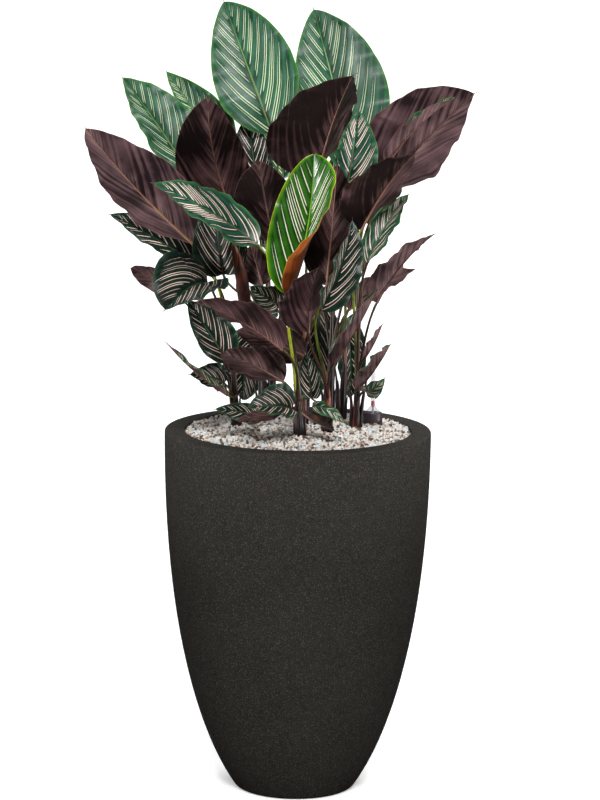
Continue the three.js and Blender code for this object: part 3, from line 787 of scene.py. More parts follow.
@dataclass(frozen=True)
class Shoot:
    """One shoot: where the bundle of clasping sheaths stands in the gravel, and its top."""

    name: str
    foot: tuple[float, float]
    top: tuple[float, float, float]
    fused: bool = False

    @property
    def node(self) -> str:
        """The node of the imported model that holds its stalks."""
        return f"stalks_{self.name}"

    def ends(self) -> tuple[np.ndarray, np.ndarray]:
        """The foot and the top of the bundle."""
        return np.array((*self.foot, STOCK_FOOT_HEIGHT)), np.array(self.top, float)


STOCK_FOOT_HEIGHT = 481.0
STOCK_FOOT_RADIUS = 10.0
STOCK_TOP_RADIUS = 6.0

SHOOTS = {
    shoot.name: shoot
    for shoot in (
        Shoot("front_left", (6, -80), (1, -88, 602)),
        Shoot("left", (-88, 0), (-94, -8, 592)),
        Shoot("back_left", (-48, 36), (-56, 42, 640)),
        Shoot("back", (8, 66), (10, 78, 650)),
        Shoot("centre", (6, -6), (6, -8, 660)),
        Shoot("front_right", (42, -56), (44, -64, 600)),
        Shoot("right", (84, -8), (88, -14, 598)),
        Shoot("back_right", (62, 48), (68, 56, 640)),
        Shoot("rear_left", (-36, 100), (-42, 112, 636), fused=True),
        Shoot("rear_right", (44, 104), (50, 116, 630), fused=True),
    )
}


@dataclass
class Leaf:
    """One leaf: its blade, midrib and stalk.

    base and tip are the ends of the midrib, and half holds the widths of the left and right
    halves, with fall how fast each narrows to the tip. turn is the way that the striped face
    looks, in degrees about the midrib: 0 is to the front, 180 to the back. bow arches the midrib
    to that face and sweep bends it to the right. fold is the rise of each half at the midrib, in
    degrees, and curl what the fold gains by the margin. roll and furl add to fold and curl at the
    base, fading over the first part of the length, reach. rise is how long the stalk runs on
    along the midrib, clasp the share of the stalk inside its sheath, and tone its colour from
    maroon to yellow. sheath is the tone of its sheath, from purple to pink, and varies from leaf
    to leaf when it isn't given.
    """

    name: str
    shoot: str
    base: tuple[float, float, float]
    tip: tuple[float, float, float]
    half: tuple[float, float]
    look: Look
    turn: float = 0
    bow: float = 8
    sweep: float = 0
    fold: tuple[float, float] = (16, 16)
    roll: tuple[float, float] = (24, 24)
    furl: tuple[float, float] = (0, 0)
    reach: float = 0.3
    fall: tuple[float, float] = (0.85, 0.85)
    rise: float = 0.22
    clasp: float = 0.0
    tone: float = 0.45
    sheath: float | None = None
    number: int = 0

    CURL = -10.0
    WAVE_HEIGHT = 3.0
    WAVE_COUNT = 2.5
    WAVE_SHIFT = 1.9
    RIPPLE_HEIGHT = 1.9
    RIPPLE_COUNT = 6.4
    CRIMP_HEIGHT = 0.5
    CRIMP_COUNT = 15.0
    PLEAT_DEPTH = 1.4
    PLEAT_CHANGE = 1.0
    FULL_RELIEF_HALF = 40.0
    GROUP_START = 8.0
    GROUP_DIVISOR = 12.0
    STALK_RADIUS = 2.7
    STALK_TAPER = 0.9
    STALK_OFFSET = 2.6
    STALK_DROP = 16.0
    GROUND_RISE = 46.0
    SHEATH_RADIUS = 4.6
    SHEATH_TAPER = 1.7
    SHEATH_SIDES = 12
    CURVE_STEPS = 34
    RUN_STEPS = 8
    ROOT_HALF_WIDTH = 2.6
    TIP_HALF_WIDTH = 0.7
    BASE_ROUNDING = 0.5
    THICKNESS = 0.7
    MARGIN_THICKNESS = 0.4

    def rest_frame(self) -> tuple[np.ndarray, np.ndarray, np.ndarray, np.ndarray]:
        """The root, the chord, and unit vectors up from the face and to its right."""
        root = np.array(self.base, float)
        chord = np.array(self.tip, float) - root
        along = unit(chord)
        face = unit(np.array((0.0, -1.0, 0.0)) + along * along[1])
        face = turned_about(face, along, math.radians(self.turn))
        return root, chord, face, np.cross(along, face)

    def midrib(self, share: np.ndarray) -> tuple[np.ndarray, np.ndarray, np.ndarray, np.ndarray]:
        """The midrib: the chord plus a parabola 4s(1-s) times bow to the face and sweep to the right.

        Args:
            share: where along the blade, from 0 at the base to 1 at the tip.

        Returns:
            The points, and the unit vectors along, up from the face and to the right.
        """
        root, chord, face, right = self.rest_frame()
        arch = (4 * share * (1 - share))[:, None]
        slope = (4 * (1 - 2 * share))[:, None]
        bend = face * self.bow + right * self.sweep
        along = unit(chord + bend * slope)
        up = unit(face - along * (along @ face)[:, None])
        return root + chord * share[:, None] + bend * arch, along, up, np.cross(along, up)

    def half_width(self, share: np.ndarray, across: np.ndarray) -> np.ndarray:
        """The width of a half of the blade: half s^0.5 (1-s)^fall over its peak, plus a root and a tip.

        Args:
            share: where along the blade.
            across: below 0 on the left half, 0 or above on the right one.

        Returns:
            The width for each share (rows) and across (columns).
        """
        widths = []
        for half, fall in zip(self.half, self.fall):
            widest = self.BASE_ROUNDING / (self.BASE_ROUNDING + fall)
            peak = widest**self.BASE_ROUNDING * (1 - widest) ** fall
            oval = half * share**self.BASE_ROUNDING * (1 - share) ** fall / peak
            widths.append(oval + self.ROOT_HALF_WIDTH * (1 - share) ** 3 + self.TIP_HALF_WIDTH * share)
        return np.where(across[None, :] < 0, widths[0][:, None], widths[1][:, None])

    def vein_phase(self, share: np.ndarray, across: np.ndarray) -> np.ndarray:
        """How many groups of side veins a point lies past, level along each vein.

        A vein that leaves the midrib x mm from the base passes the points w mm from the midrib
        and x + (1 + 1.3 s) w + 0.4 w^2 / half mm up it, s their share of the length. A group
        takes 8 mm and a twelfth of the length.
        """
        length = np.linalg.norm(np.array(self.tip, float) - self.base)
        far = self.half_width(share, across) * np.abs(across)[None, :]
        up = share[:, None]
        start = up * length - (1 + 1.3 * up) * far - 0.4 * far**2 / max(self.half)
        passed = start / (self.GROUP_START + length / self.GROUP_DIVISOR)
        return passed + 0.35 * math.sin(self.number) + 20 * (self.number + 1)

    def middle_surface(
        self, share: np.ndarray, across: np.ndarray, shift: float = 0.0
    ) -> tuple[np.ndarray, np.ndarray]:
        """The blade's middle surface.

        From the midrib each half runs along an arc that starts at the fold and turns by the
        curl. Near the base roll and furl, times 1 - s/reach, are added to them. The margin waves
        as height w^2 sin(2 pi count s + phase) times the root of sin(pi s), with finer ripples
        and crimps on it. A pleat lies along each group of side veins, 0.4 to 2.4 mm deep by a
        slow sine of the group's number, and less on a small blade.

        Args:
            share: where along the blade (rows).
            across: -1 at the left margin to 1 at the right one (columns).
            shift: how far the point lies above the surface.

        Returns:
            The points and their unit normals on the striped side, as (rows, columns, 3).
        """
        point, _, up, right = self.midrib(share)
        side = np.where(across < 0, -1.0, 1.0)[None, :]
        outward = np.abs(across)[None, :]
        left = across[None, :] < 0
        closing = np.maximum(0, 1 - share / self.reach)[:, None]
        start = np.radians(
            np.where(left, self.fold[0] + self.roll[0] * closing, self.fold[1] + self.roll[1] * closing)
        )
        width = self.half_width(share, across)
        furl = np.where(left, self.furl[0], self.furl[1]) * closing
        furl = furl * np.minimum(1, width / np.where(left, self.half[0], self.half[1]))
        gain = np.radians(self.CURL + furl)
        gain = np.where(np.abs(gain) < 0.02, 0.02, gain)
        angle = start + gain * outward
        sideways = width * (np.sin(angle) - np.sin(start)) / gain
        lift = width * (np.cos(start) - np.cos(angle)) / gain
        normal = up[:, None] * np.cos(angle)[..., None] - right[:, None] * (side * np.sin(angle))[..., None]
        fade = np.sqrt(np.sin(np.pi * np.clip(share, 0, 1)))[:, None]
        turn = FULL_TURN * share[:, None]
        lag = np.where(left, 0.0, self.WAVE_SHIFT)
        scale = min(1.0, max(self.half) / self.FULL_RELIEF_HALF)
        wave = self.WAVE_HEIGHT * outward**2 * np.sin(self.WAVE_COUNT * turn + lag)
        ripple = np.sin(self.RIPPLE_COUNT * turn + 2.3 * lag + self.number)
        crimp = np.sin(self.CRIMP_COUNT * turn + lag + 2 * self.number)
        wave = wave + self.RIPPLE_HEIGHT * scale * outward**3 * ripple
        wave = wave + self.CRIMP_HEIGHT * scale * outward**6 * crimp
        phase = self.vein_phase(share, across)
        pleat = np.sqrt(np.sin(np.pi * phase) ** 2 + 0.1)
        depth = self.PLEAT_DEPTH + self.PLEAT_CHANGE * np.sin(1.7 * phase + 3 * self.number)
        pleat = depth * scale * pleat * smooth_step(0.02, 0.3, outward) * (1 - 0.6 * outward)
        height = (wave + pleat) * fade + shift
        surface = (
            point[:, None]
            + right[:, None] * (side * sideways)[..., None]
            + up[:, None] * lift[..., None]
            + normal * height[..., None]
        )
        return surface, normal

    def blade_skins(self, rows: int, lanes: int) -> list[Skin]:
        """The blade as one closed skin, and the midrib on its back.

        Args:
            rows: steps from base to tip.
            lanes: steps across each half.

        Returns:
            Skins with finish 0 for the striped face, 1 for the back and rim, 2 for the midrib
            and 3 for the withered thread at the tip.
        """
        share = (1 - np.cos(np.pi * np.linspace(0, 1, rows + 1))) / 2
        share = np.clip(0.55 * share + 0.45 * np.linspace(0, 1, rows + 1), 0, LAST_SHARE)
        ramp = np.linspace(-1, 1, 2 * lanes + 1)
        across = np.sign(ramp) * (0.35 * np.abs(ramp) + 0.65 * np.abs(ramp) ** 1.5)
        middle, about = self.middle_surface(share, across)
        lengthwise = np.gradient(middle, axis=0)
        crosswise = np.gradient(middle, axis=1)
        normal = unit(np.cross(crosswise, lengthwise))
        normal = np.where((normal * about).sum(-1, keepdims=True) < 0, -normal, normal)
        outward = np.abs(across)[None, :, None]
        width = self.half_width(share, across)
        from_rib = width * np.abs(across)
        from_margin = width - from_rib
        half = (self.THICKNESS + (self.MARGIN_THICKNESS - self.THICKNESS) * outward**2) / 2
        stem = 1 - 0.75 * share[:, None]
        groove = 0.5 * stem * np.exp(-((from_rib / (1.4 * stem)) ** 2))
        upper = middle + normal * (half - groove[..., None])
        lower = middle - normal * half
        columns = len(across)
        count = len(share) * columns
        phase = self.vein_phase(share, across)
        lamina = np.stack(
            [
                np.broadcast_to(across[None, :], phase.shape),
                np.broadcast_to(share[:, None], phase.shape),
                phase,
            ],
            -1,
        ).reshape(-1, 3)
        edge = np.stack([from_rib, from_margin, np.zeros_like(from_rib)], -1).reshape(-1, 3)
        top = grid_quads(len(share), columns)
        bottom = grid_quads(len(share), columns, count)[:, ::-1]
        points = np.concatenate([upper.reshape(-1, 3), lower.reshape(-1, 3)])
        face = Skin(points, [top], 0, np.tile(lamina, (2, 1)), np.tile(edge, (2, 1)))
        back = Skin(np.zeros((0, 3)), [bottom - 2 * count, self.rim(len(share), columns) - 2 * count], 1)
        return [face, back, self.rib_skin(middle, normal, share, lanes), self.thread_skin()]

    @staticmethod
    def rim(rows: int, columns: int) -> np.ndarray:
        """Quads that join the two faces round the margin, facing outward."""
        count = rows * columns
        step = np.arange(rows - 1) * columns
        right = np.stack([step, step + count, step + count + columns, step + columns], 1) + columns - 1
        left = np.stack([step + columns, step + count + columns, step + count, step], 1)
        lane = np.arange(columns - 1)
        base = np.stack([lane, lane + count, lane + count + 1, lane + 1], 1)
        last = count - columns
        tip = np.stack([lane + 1, lane + count + 1, lane + count, lane], 1) + last
        return np.concatenate([right, left, base, tip])

    def rib_skin(self, middle: np.ndarray, normal: np.ndarray, share: np.ndarray, lanes: int) -> Skin:
        """The midrib, a tapering round rib half sunk in the back, from 1.8 mm to 0.4 mm in radius."""
        thick = 0.6 + 0.3 * min(1.0, max(self.half) / 50)
        radius = thick * (0.4 + 1.6 * (1 - share) ** 1.3)
        path = middle[:, lanes] - normal[:, lanes] * (0.2 + 0.55 * radius)[:, None]
        rings = swept_rings(path[::2], radius[::2], 8)
        return tube_skin(rings, 2, 0.15 + 0.55 * self.tone)

    def thread_skin(self) -> Skin:
        """The withered thread that draws out the tip, bent a little to the back."""
        end = np.array([LAST_SHARE])
        point, along, up, right = self.midrib(end)
        length = 4 + 0.07 * max(self.half)
        share = np.linspace(0, 1, 7)[:, None]
        side = right[0] * 0.3 * np.sin(1.7 * self.number)
        path = point[0] + along[0] * length * (share - 0.15) + (side - up[0] * 0.35) * length * share**2
        return tube_skin(swept_rings(path, 0.75 - 0.5 * share[:, 0], 6), 3, 0.3)

    def stalk_path(self, shoot: Shoot, steps: int) -> np.ndarray:
        """The line of the stalk: up out of the bundle, then a Bezier curve to meet the midrib.

        Args:
            shoot: the shoot that bears it.
            steps: pieces of the curve.

        Returns:
            Its points: 8 from the gravel up the bundle, and the curve from 16 mm below its top.
        """
        foot, top = shoot.ends()
        lift = unit(top - foot)
        start, along, up, _ = (values[0] for values in self.midrib(np.array([0.0])))
        origin = top - lift * self.STALK_DROP
        reach = np.linalg.norm(origin - start)
        controls = np.stack([origin, origin + lift * reach * 0.4, start - along * reach * self.rise, start])
        curve = bezier(controls, np.linspace(0, 1, steps + 1))
        spread = FULL_TURN * GOLDEN_TURN * self.number
        offset = np.array((math.cos(spread), math.sin(spread), 0.0)) * self.STALK_OFFSET
        shares = (1 - smooth_step(0.0, 0.5, np.linspace(0, 1, steps + 1)))[:, None]
        ground = foot + lift * self.GROUND_RISE + offset * 2.3
        run = ground + (curve[0] + offset - ground) * np.linspace(0, 1, self.RUN_STEPS + 1)[:-1, None]
        ahead = start + along * 3.0 - up * 0.8
        return np.concatenate([run, curve + offset * shares, ahead[None]])

    def stalk_skins(self, shoot: Shoot) -> list[Skin]:
        """The stalk, 2.7 mm in radius at the foot and 1.8 mm at the blade, and its sheath.

        The sheath clasps the foot of the stalk. It narrows from 4.6 to 2.9 mm in radius, and its
        mouth is cut aslant. Both are slimmer on a small leaf.
        """
        slim = 0.72 + 0.28 * min(1.0, max(self.half) / 45)
        path = self.stalk_path(shoot, self.CURVE_STEPS)
        share = np.linspace(0, 1, len(path))
        swelling = 0.35 * np.exp(-(((share - 0.93) / 0.04) ** 2))
        taper = self.STALK_TAPER * smooth_step(0.1, 0.9, share)
        radius = slim * (self.STALK_RADIUS - taper + swelling)
        stalk = tube_skin(swept_rings(path, radius, 10), 0, self.tone)
        held = max(self.clasp, 0.1 + 0.08 * ((self.number * 0.382) % 1))
        count = self.RUN_STEPS + max(4, round(self.CURVE_STEPS * held))
        inner = path[:count]
        passed = np.linspace(0, 1, count)
        angle = np.arange(self.SHEATH_SIDES) / self.SHEATH_SIDES * FULL_TURN
        opening = smooth_step(0.55, 1.0, passed)[:, None]
        mouth = 1 - 0.28 * (1 + np.cos(angle + self.number))[None, :] * opening
        girth = (self.SHEATH_RADIUS - self.SHEATH_TAPER * passed**1.4)[:, None]
        girth = girth * (1 + 0.1 * np.cos(2 * angle + 3 * passed[:, None]))
        rings = swept_rings(inner, girth * slim * np.maximum(mouth, 0.62), self.SHEATH_SIDES)
        varied = 0.05 + 0.5 * ((self.number * 0.618) % 1)
        sheath = tube_skin(rings, 1, varied if self.sheath is None else self.sheath)
        return [stalk, sheath]


LEAVES = (
    Leaf("crown_left", "back_left", (-43, 40, 991), (-118, 120, 1180), (57, 71), Look.CROWN,
         fall=(0.85, 0.72), tone=0.62),
    Leaf("crown_right", "back", (77, 60, 952), (17, 150, 1168), (62, 78), Look.CROWN,
         fall=(0.85, 0.72), turn=8, tone=0.62),
    Leaf("crown_far_left", "back_left", (-157, 20, 917), (-269, 100, 1066), (34, 54), Look.CROWN,
         turn=26, fold=(24, 24)),
    Leaf("crown_behind", "back_left", (-108, 60, 949), (-204, 125, 1074), (18, 43), Look.CROWN,
         fall=(0.85, 1.0)),
    Leaf("crown_inner", "back_left", (-63, 20, 905), (-79, 60, 1012), (34, 28), Look.DARK),
    Leaf("upright_left", "centre", (-102, -30, 882), (-135, -90, 1054), (46, 60), Look.DEEP,
         turn=180, sweep=9, clasp=0.35),
    Leaf("upright_small", "centre", (-40, -60, 840), (-62, -110, 964), (44, 50), Look.DEEP,
         turn=180, tone=0.3),
    Leaf("far_left", "left", (-157, -60, 837), (-310, -120, 1009), (62, 58), Look.OUTER,
         turn=155, sweep=12, fold=(24, 24), clasp=0.3, tone=0.8),
    Leaf("pink_striped", "front_left", (-62, -120, 844), (-207, -220, 941), (40, 40), Look.PINK,
         turn=56, tone=0.7),
    Leaf("young_lime", "front_left", (-13, -142, 773), (19, -182, 982), (54, 62), Look.LIME,
         fall=(0.6, 0.5), turn=-12, sweep=10, fold=(22, 20), roll=(0, 45), furl=(0, 170), reach=1,
         clasp=0.3, tone=0.98),
    Leaf("upright_centre", "centre", (23, -30, 925), (73, -120, 1089), (58, 92), Look.DEEP,
         fall=(0.85, 0.7), turn=222, fold=(24, 24), clasp=0.35, tone=0.58, sheath=0.9),
    Leaf("far_right", "right", (113, -10, 904), (250, -90, 1063), (62, 80), Look.OUTER,
         fall=(1.1, 0.62), turn=205, fold=(20, 20), clasp=0.35),
    Leaf("rolled_right", "right", (127, -84, 961), (220, -152, 1062), (22, 20), Look.OUTER,
         turn=262, fold=(48, 48)),
    Leaf("crown_small", "back_right", (70, -40, 926), (84, -50, 1033), (24, 38), Look.PINK,
         tone=0.72, sheath=0.75),
    Leaf("upright_right", "right", (89, -90, 862), (162, -165, 982), (48, 54), Look.DEEP,
         turn=222, fold=(22, 22), tone=0.75),
    Leaf("inner_right", "right", (99, -92, 815), (158, -44, 910), (20, 25), Look.PINK,
         turn=-42, fold=(25, 25), tone=0.3),
    Leaf("front_right", "front_right", (29, -160, 755), (74, -210, 890), (36, 38), Look.DARK,
         turn=50, fold=(25, 25), clasp=0.4, tone=0.66, sheath=0.95),
    Leaf("right_high", "right", (114, -70, 753), (193, -150, 865), (30, 34), Look.OUTER,
         turn=240, fold=(25, 25), tone=0.2),
    Leaf("right_behind", "back_right", (75, 25, 728), (171, -20, 797), (19, 24), Look.OUTER, turn=215),
    Leaf("right_folded", "front_right", (51, -96, 665), (111, -150, 782), (24, 21), Look.OUTER,
         turn=265, bow=-3, fold=(48, 48), tone=0.2, sheath=0.8),
    Leaf("right_low", "right", (88, -90, 628), (132, -150, 703), (23, 21), Look.OUTER,
         turn=258, bow=-3, fold=(44, 44), tone=0.15, sheath=0.72),
    Leaf("right_slim", "right", (98, -74, 673), (122, -80, 722), (10, 9), Look.OUTER,
         turn=250, bow=-2, fold=(42, 42), tone=0.1),
    Leaf("right_tiny", "right", (100, -60, 620), (126, -100, 645), (13, 14), Look.PINK, turn=10),
    Leaf("middle_small", "front_left", (-32, -96, 752), (-71, -150, 786), (24, 24), Look.DARK,
         turn=10, fold=(25, 25)),
    Leaf("middle_dark", "front_right", (14, -162, 722), (27, -208, 822), (40, 44), Look.DARK,
         turn=219, fold=(25, 25), tone=0.25, sheath=0.7),
    Leaf("reaching_left", "front_left", (-23, -180, 699), (-146, -240, 776), (36, 36), Look.DARK,
         turn=135, fold=(30, 30), tone=0.35, sheath=0.75),
    Leaf("drooping_left", "left", (-105, -100, 670), (-162, -100, 757), (23, 34), Look.DARK,
         turn=10, tone=0.3),
    Leaf("folded_left", "left", (-134, -90, 780), (-192, -190, 757), (46, 60), Look.DARK,
         fall=(0.8, 0.5), turn=44, bow=18, fold=(30, 30)),
    Leaf("behind_folded_left", "left", (-192, -30, 763), (-248, -60, 799), (16, 16), Look.OUTER, turn=180),
    Leaf("under_far_left", "left", (-138, -5, 788), (-281, -10, 872), (21, 34), Look.DARK,
         turn=30, fold=(25, 25)),
    Leaf("inner_left", "centre", (-112, -60, 792), (-127, -80, 904), (40, 40), Look.DARK),
    Leaf("inner_dark_left", "centre", (-55, -50, 775), (-73, -60, 834), (24, 22), Look.DEEP, turn=180),
    Leaf("inner_dark_right", "centre", (40, -56, 776), (54, -66, 955), (42, 42), Look.DEEP,
         turn=180, clasp=0.35, tone=0.62),
    Leaf("low_left", "front_left", (-22, -120, 642), (-111, -200, 695), (33, 33), Look.DEEP,
         turn=155, fold=(20, 20), tone=0.3, sheath=0.3),
    Leaf("low_front", "front_left", (-10, -116, 601), (-72, -200, 618), (20, 33), Look.DARK,
         turn=40, fold=(28, 28), tone=0.3),
    Leaf("low_on_gravel", "front_left", (-25, -112, 594), (-87, -160, 591), (8, 9), Look.DARK, turn=180),
    Leaf("low_dark", "left", (-58, -72, 581), (-120, -122, 601), (16, 14), Look.DARK, turn=30),
    Leaf("low_far_left", "left", (-110, -56, 628), (-158, -105, 649), (16, 24), Look.DARK, turn=30),
    Leaf("low_rolled", "left", (-103, -112, 620), (-191, -150, 702), (9, 9), Look.OUTER,
         turn=80, bow=-5, fold=(35, 35)),
    Leaf("inner_low", "front_right", (20, -56, 608), (11, -66, 675), (18, 18), Look.DARK, tone=0.35),
    Leaf("inner_dark_low", "centre", (8, -60, 672), (-92, -50, 706), (28, 28), Look.DEEP, turn=170),
    Leaf("low_green", "front_right", (23, -128, 608), (71, -166, 589), (8, 10), Look.PINK,
         turn=10, sweep=-9),
    Leaf("dry_curled", "front_left", (7, -124, 597), (53, -146, 575), (18, 18), Look.DRY,
         turn=-150, bow=-4, fold=(50, 50), rise=0.3),
    Leaf("rear_high_left", "rear_left", (-62, 125, 850), (-120, 235, 950), (44, 44), Look.PINK,
         turn=15, bow=16),
    Leaf("rear_mid_left", "rear_left", (-86, 130, 755), (-175, 215, 780), (38, 38), Look.DARK,
         turn=70, bow=20),
    Leaf("rear_low_left", "rear_left", (-66, 128, 683), (-86, 172, 564), (38, 38), Look.DARK,
         turn=20, bow=14),
    Leaf("rear_high_right", "rear_right", (62, 130, 860), (112, 245, 960), (46, 46), Look.PINK,
         turn=-15, bow=16),
    Leaf("rear_mid_right", "rear_right", (86, 128, 759), (103, 228, 774), (34, 34), Look.PINK,
         turn=-70, bow=20),
    Leaf("rear_low_right", "rear_right", (72, 132, 700), (80, 176, 568), (24, 24), Look.DARK,
         turn=-20, bow=12),
    Leaf("rear_tall_left", "rear_left", (-26, 118, 915), (-52, 195, 1075), (46, 46), Look.CROWN,
         turn=10, bow=12),
    Leaf("rear_inner_left", "rear_left", (-14, 150, 780), (-30, 262, 850), (40, 40), Look.DARK, bow=16),
    Leaf("rear_side_left", "rear_left", (-92, 96, 828), (-190, 165, 890), (34, 34), Look.PINK,
         turn=50, bow=14),
    Leaf("rear_tall_right", "rear_right", (66, 116, 930), (104, 195, 1080), (44, 44), Look.CROWN,
         turn=-10, bow=12),
    Leaf("rear_inner_right", "rear_right", (29, 140, 728), (26, 186, 570), (38, 38), Look.DARK, bow=14),
    Leaf("rear_side_right", "rear_right", (104, 90, 850), (177, 150, 954), (34, 34), Look.CROWN,
         turn=-50, bow=14),
)


@dataclass
class Plant:
    """All shoots and leaves, each leaf a piece of its own and each shoot's stalks another."""

    leaves: tuple[Leaf, ...]
    fine_rows: int = 72
    fine_lanes: int = 17
    small_rows: int = 44
    small_lanes: int = 11
    small_half: float = 24.0

    def __post_init__(self) -> None:
        """Numbers the leaves, which seeds what differs from leaf to leaf, and makes the finishes."""
        for number, leaf in enumerate(self.leaves):
            leaf.number = number
        self.uppers = {look: finish.build() for look, finish in UPPER_FACES.items()}
        self.backs = {look: finish.build() for look, finish in UNDER_FACES.items()}
        self.uppers[Look.DRY] = DryBlade().build()
        self.backs[Look.DRY] = self.uppers[Look.DRY]
        self.rib = StalkSkin("calathea_midrib", MIDRIB_RAMP, foot_shade=-0.24).build()
        self.thread = StalkSkin("withered_leaf_thread", THREAD_RAMP).build()
        self.stalk = StalkSkin("calathea_stalk", STALK_RAMP, roughness=0.38).build()
        self.sheath = StalkSkin("calathea_sheath", SHEATH_RAMP, foot_shade=0.25, streaks=0.22).build()

    def build(self) -> None:
        """Builds every blade, then the stalks of each shoot."""
        for leaf in self.leaves:
            self.build_blade(leaf)
        for shoot in SHOOTS.values():
            self.build_stalks(shoot)

    def build_blade(self, leaf: Leaf) -> bpy.types.Object:
        """Builds a leaf's blade."""
        small = max(leaf.half) < self.small_half
        rows = self.small_rows if small else self.fine_rows
        lanes = self.small_lanes if small else self.fine_lanes
        finishes = [self.uppers[leaf.look], self.backs[leaf.look], self.rib, self.thread]
        shoot = SHOOTS[leaf.shoot]
        node = shoot.node if shoot.fused else f"leaf_{leaf.name}"
        return make_piece(f"blade_{leaf.name}", leaf.blade_skins(rows, lanes), finishes, (node,))

    def build_stalks(self, shoot: Shoot) -> bpy.types.Object:
        """Builds a shoot's stalks, their sheaths and the bundle at its foot."""
        own = [leaf for leaf in self.leaves if leaf.shoot == shoot.name]
        skins = [skin for leaf in own for skin in leaf.stalk_skins(shoot)]
        skins += self.bundle_skins(shoot)
        return make_piece(f"stems_{shoot.name}", skins, [self.stalk, self.sheath], (shoot.node,))

    def bundle_skins(self, shoot: Shoot) -> list[Skin]:
        """The bundle of sheaths at a shoot's foot, three deep and lapped.

        Its core is a tapered bar with lobed rings, radius x (1 + 0.12 |sin 1.5a|). Four pointed
        scales lean on it: each is a tube whose width falls off as 1 - t^2.2 to its tip.
        """
        foot, top = shoot.ends()
        lift = unit(top - foot)
        share = np.linspace(0, 1, 16)
        path = foot + (top - foot) * share[:, None]
        angle = np.arange(24) / 24 * FULL_TURN
        seed = list(SHOOTS).index(shoot.name)
        taper = 0.55 * (STOCK_FOOT_RADIUS + (STOCK_TOP_RADIUS - STOCK_FOOT_RADIUS) * share)
        taper = taper * (1 - 0.45 * smooth_step(0.8, 1.0, share))
        lobes = 0.93 + 0.13 * np.abs(np.sin(1.5 * angle[None, :] + share[:, None] + seed))
        skins = [tube_skin(swept_rings(path, taper[:, None] * lobes, 24), 1, 0.35)]
        east = unit(np.cross(lift, np.array((0.0, 1.0, 0.0))))
        north = np.cross(lift, east)
        for scale in range(4):
            turn = FULL_TURN * (scale / 4 + 0.13 * seed)
            radial = east * math.cos(turn) + north * math.sin(turn)
            chance = (0.618 * (scale + 3 * seed)) % 1
            height = 60 + 60 * chance
            passed = np.linspace(0, 1, 14)
            lean = 7.0 - 2.0 * passed + (4 + 7 * chance) * passed**3
            spine = foot + lift * (40 + height * passed[:, None]) + radial * lean[:, None]
            width = (3.6 - 0.8 * passed) * (1 - passed**3) + 0.4
            tone = 0.1 + 0.55 * ((0.37 * scale + 0.2 * seed) % 1) ** 2
            skins.append(tube_skin(swept_rings(spine, width, 12), 1, tone))
        return skins


@dataclass
class FurledLeaf:
    """The new leaf, still rolled into a spear: a roll whose outer edge winds up round it."""

    base: tuple[float, float, float] = (-77, -44, 726)
    tip: tuple[float, float, float] = (-97, -118, 845)
    half: float = 9.0
    fall: float = 0.6
    rows: int = 60
    sides: int = 40

    def build(self) -> bpy.types.Object:
        """The spear: radius half s^0.5 (1-s)^0.6 over its peak, and 16 percent more at the lap."""
        share = np.linspace(0, LAST_SHARE, self.rows)
        widest = 0.5 / (0.5 + self.fall)
        peak = widest**0.5 * (1 - widest) ** self.fall
        radius = self.half * share**0.5 * (1 - share) ** self.fall / peak + 2.6 * (1 - share) ** 3 + 0.6
        around = np.arange(self.sides) / self.sides
        passed = (around[None, :] - 0.85 * share[:, None] + 0.1) % 1
        lap = 1.02 - 0.16 * passed + 0.02 * np.sin(9 * FULL_TURN * passed)
        start, end = np.array(self.base, float), np.array(self.tip, float)
        bend = 2.5 * np.sin(np.pi * share)[:, None] * np.array((1.0, 0.0, 0.0))
        path = start + (end - start) * share[:, None] + bend
        skin = tube_skin(swept_rings(path, radius[:, None] * lap, self.sides), 0, 0.45)
        finish = StalkSkin("calathea_rolled_leaf", ROLLED_RAMP, streaks=0.14, roughness=0.36).build()
        return make_piece("blade_furled", [skin], [finish], ("leaf_furled",))


# Planter, pebbles and water gauge


@dataclass
class Planter:
    """The tall tapering planter: its wall bulges out from a narrow foot to a broad flat rim."""

    height: float = 550.0
    rim_radius: float = 200.0
    rim_width: float = 30.0
    rim_round: float = 5.0
    lip_depth: float = 32.0
    wall: float = 14.0
    floor: float = 16.0
    foot_corner: float = 6.0
    belly_taper: float = 0.8
    belly_curve: float = 2.2
    sides: int = 160
    rows: int = 54
    gravel_stop: float = 500.0

    def outer_radius(self, height: float) -> float:
        """The wall's radius: rim radius x sqrt(1 - taper t^curve), t the depth below the rim."""
        depth = (self.height - height) / self.height
        return self.rim_radius * math.sqrt(1 - self.belly_taper * depth**self.belly_curve)

    def build(self) -> bpy.types.Object:
        """Builds the shell, turned from its profile."""
        run = self.height - self.rim_round - self.foot_corner
        rise = [self.foot_corner + run * k / self.rows for k in range(self.rows + 1)]
        outside = [(self.outer_radius(z), z) for z in rise]
        mouth = self.rim_radius - self.rim_width
        rim = rounded_profile(
            [
                (self.rim_radius, self.height - self.rim_round, 0),
                (self.rim_radius, self.height, self.rim_round * 0.8),
                (mouth, self.height, 2.5),
                (mouth, self.height - self.lip_depth, 0),
            ],
            steps=6,
        )
        down = np.linspace(self.floor, self.gravel_stop, 20)[::-1]
        inside = [(self.outer_radius(z) - self.wall, z) for z in down]
        foot = rounded_profile(
            [
                (20.0, 0.0, 0),
                (self.outer_radius(0), 0.0, self.foot_corner * 0.9),
                (self.outer_radius(self.foot_corner), self.foot_corner, 0),
            ]
        )
        profile = foot[:-1] + outside[:-1] + rim + [(float(r), float(z)) for r, z in inside]
        rings = turned_rings(profile, self.sides, (0.0, 0.0))
        finish = GrittyComposite(
            "cast_stone_fibre_composite", dark="201e1b", light="47443f", speck="8a8278", rust="6a5448"
        ).build()
        return make_piece("planter_shell", [tube_skin(rings)], [finish], ("planter",))


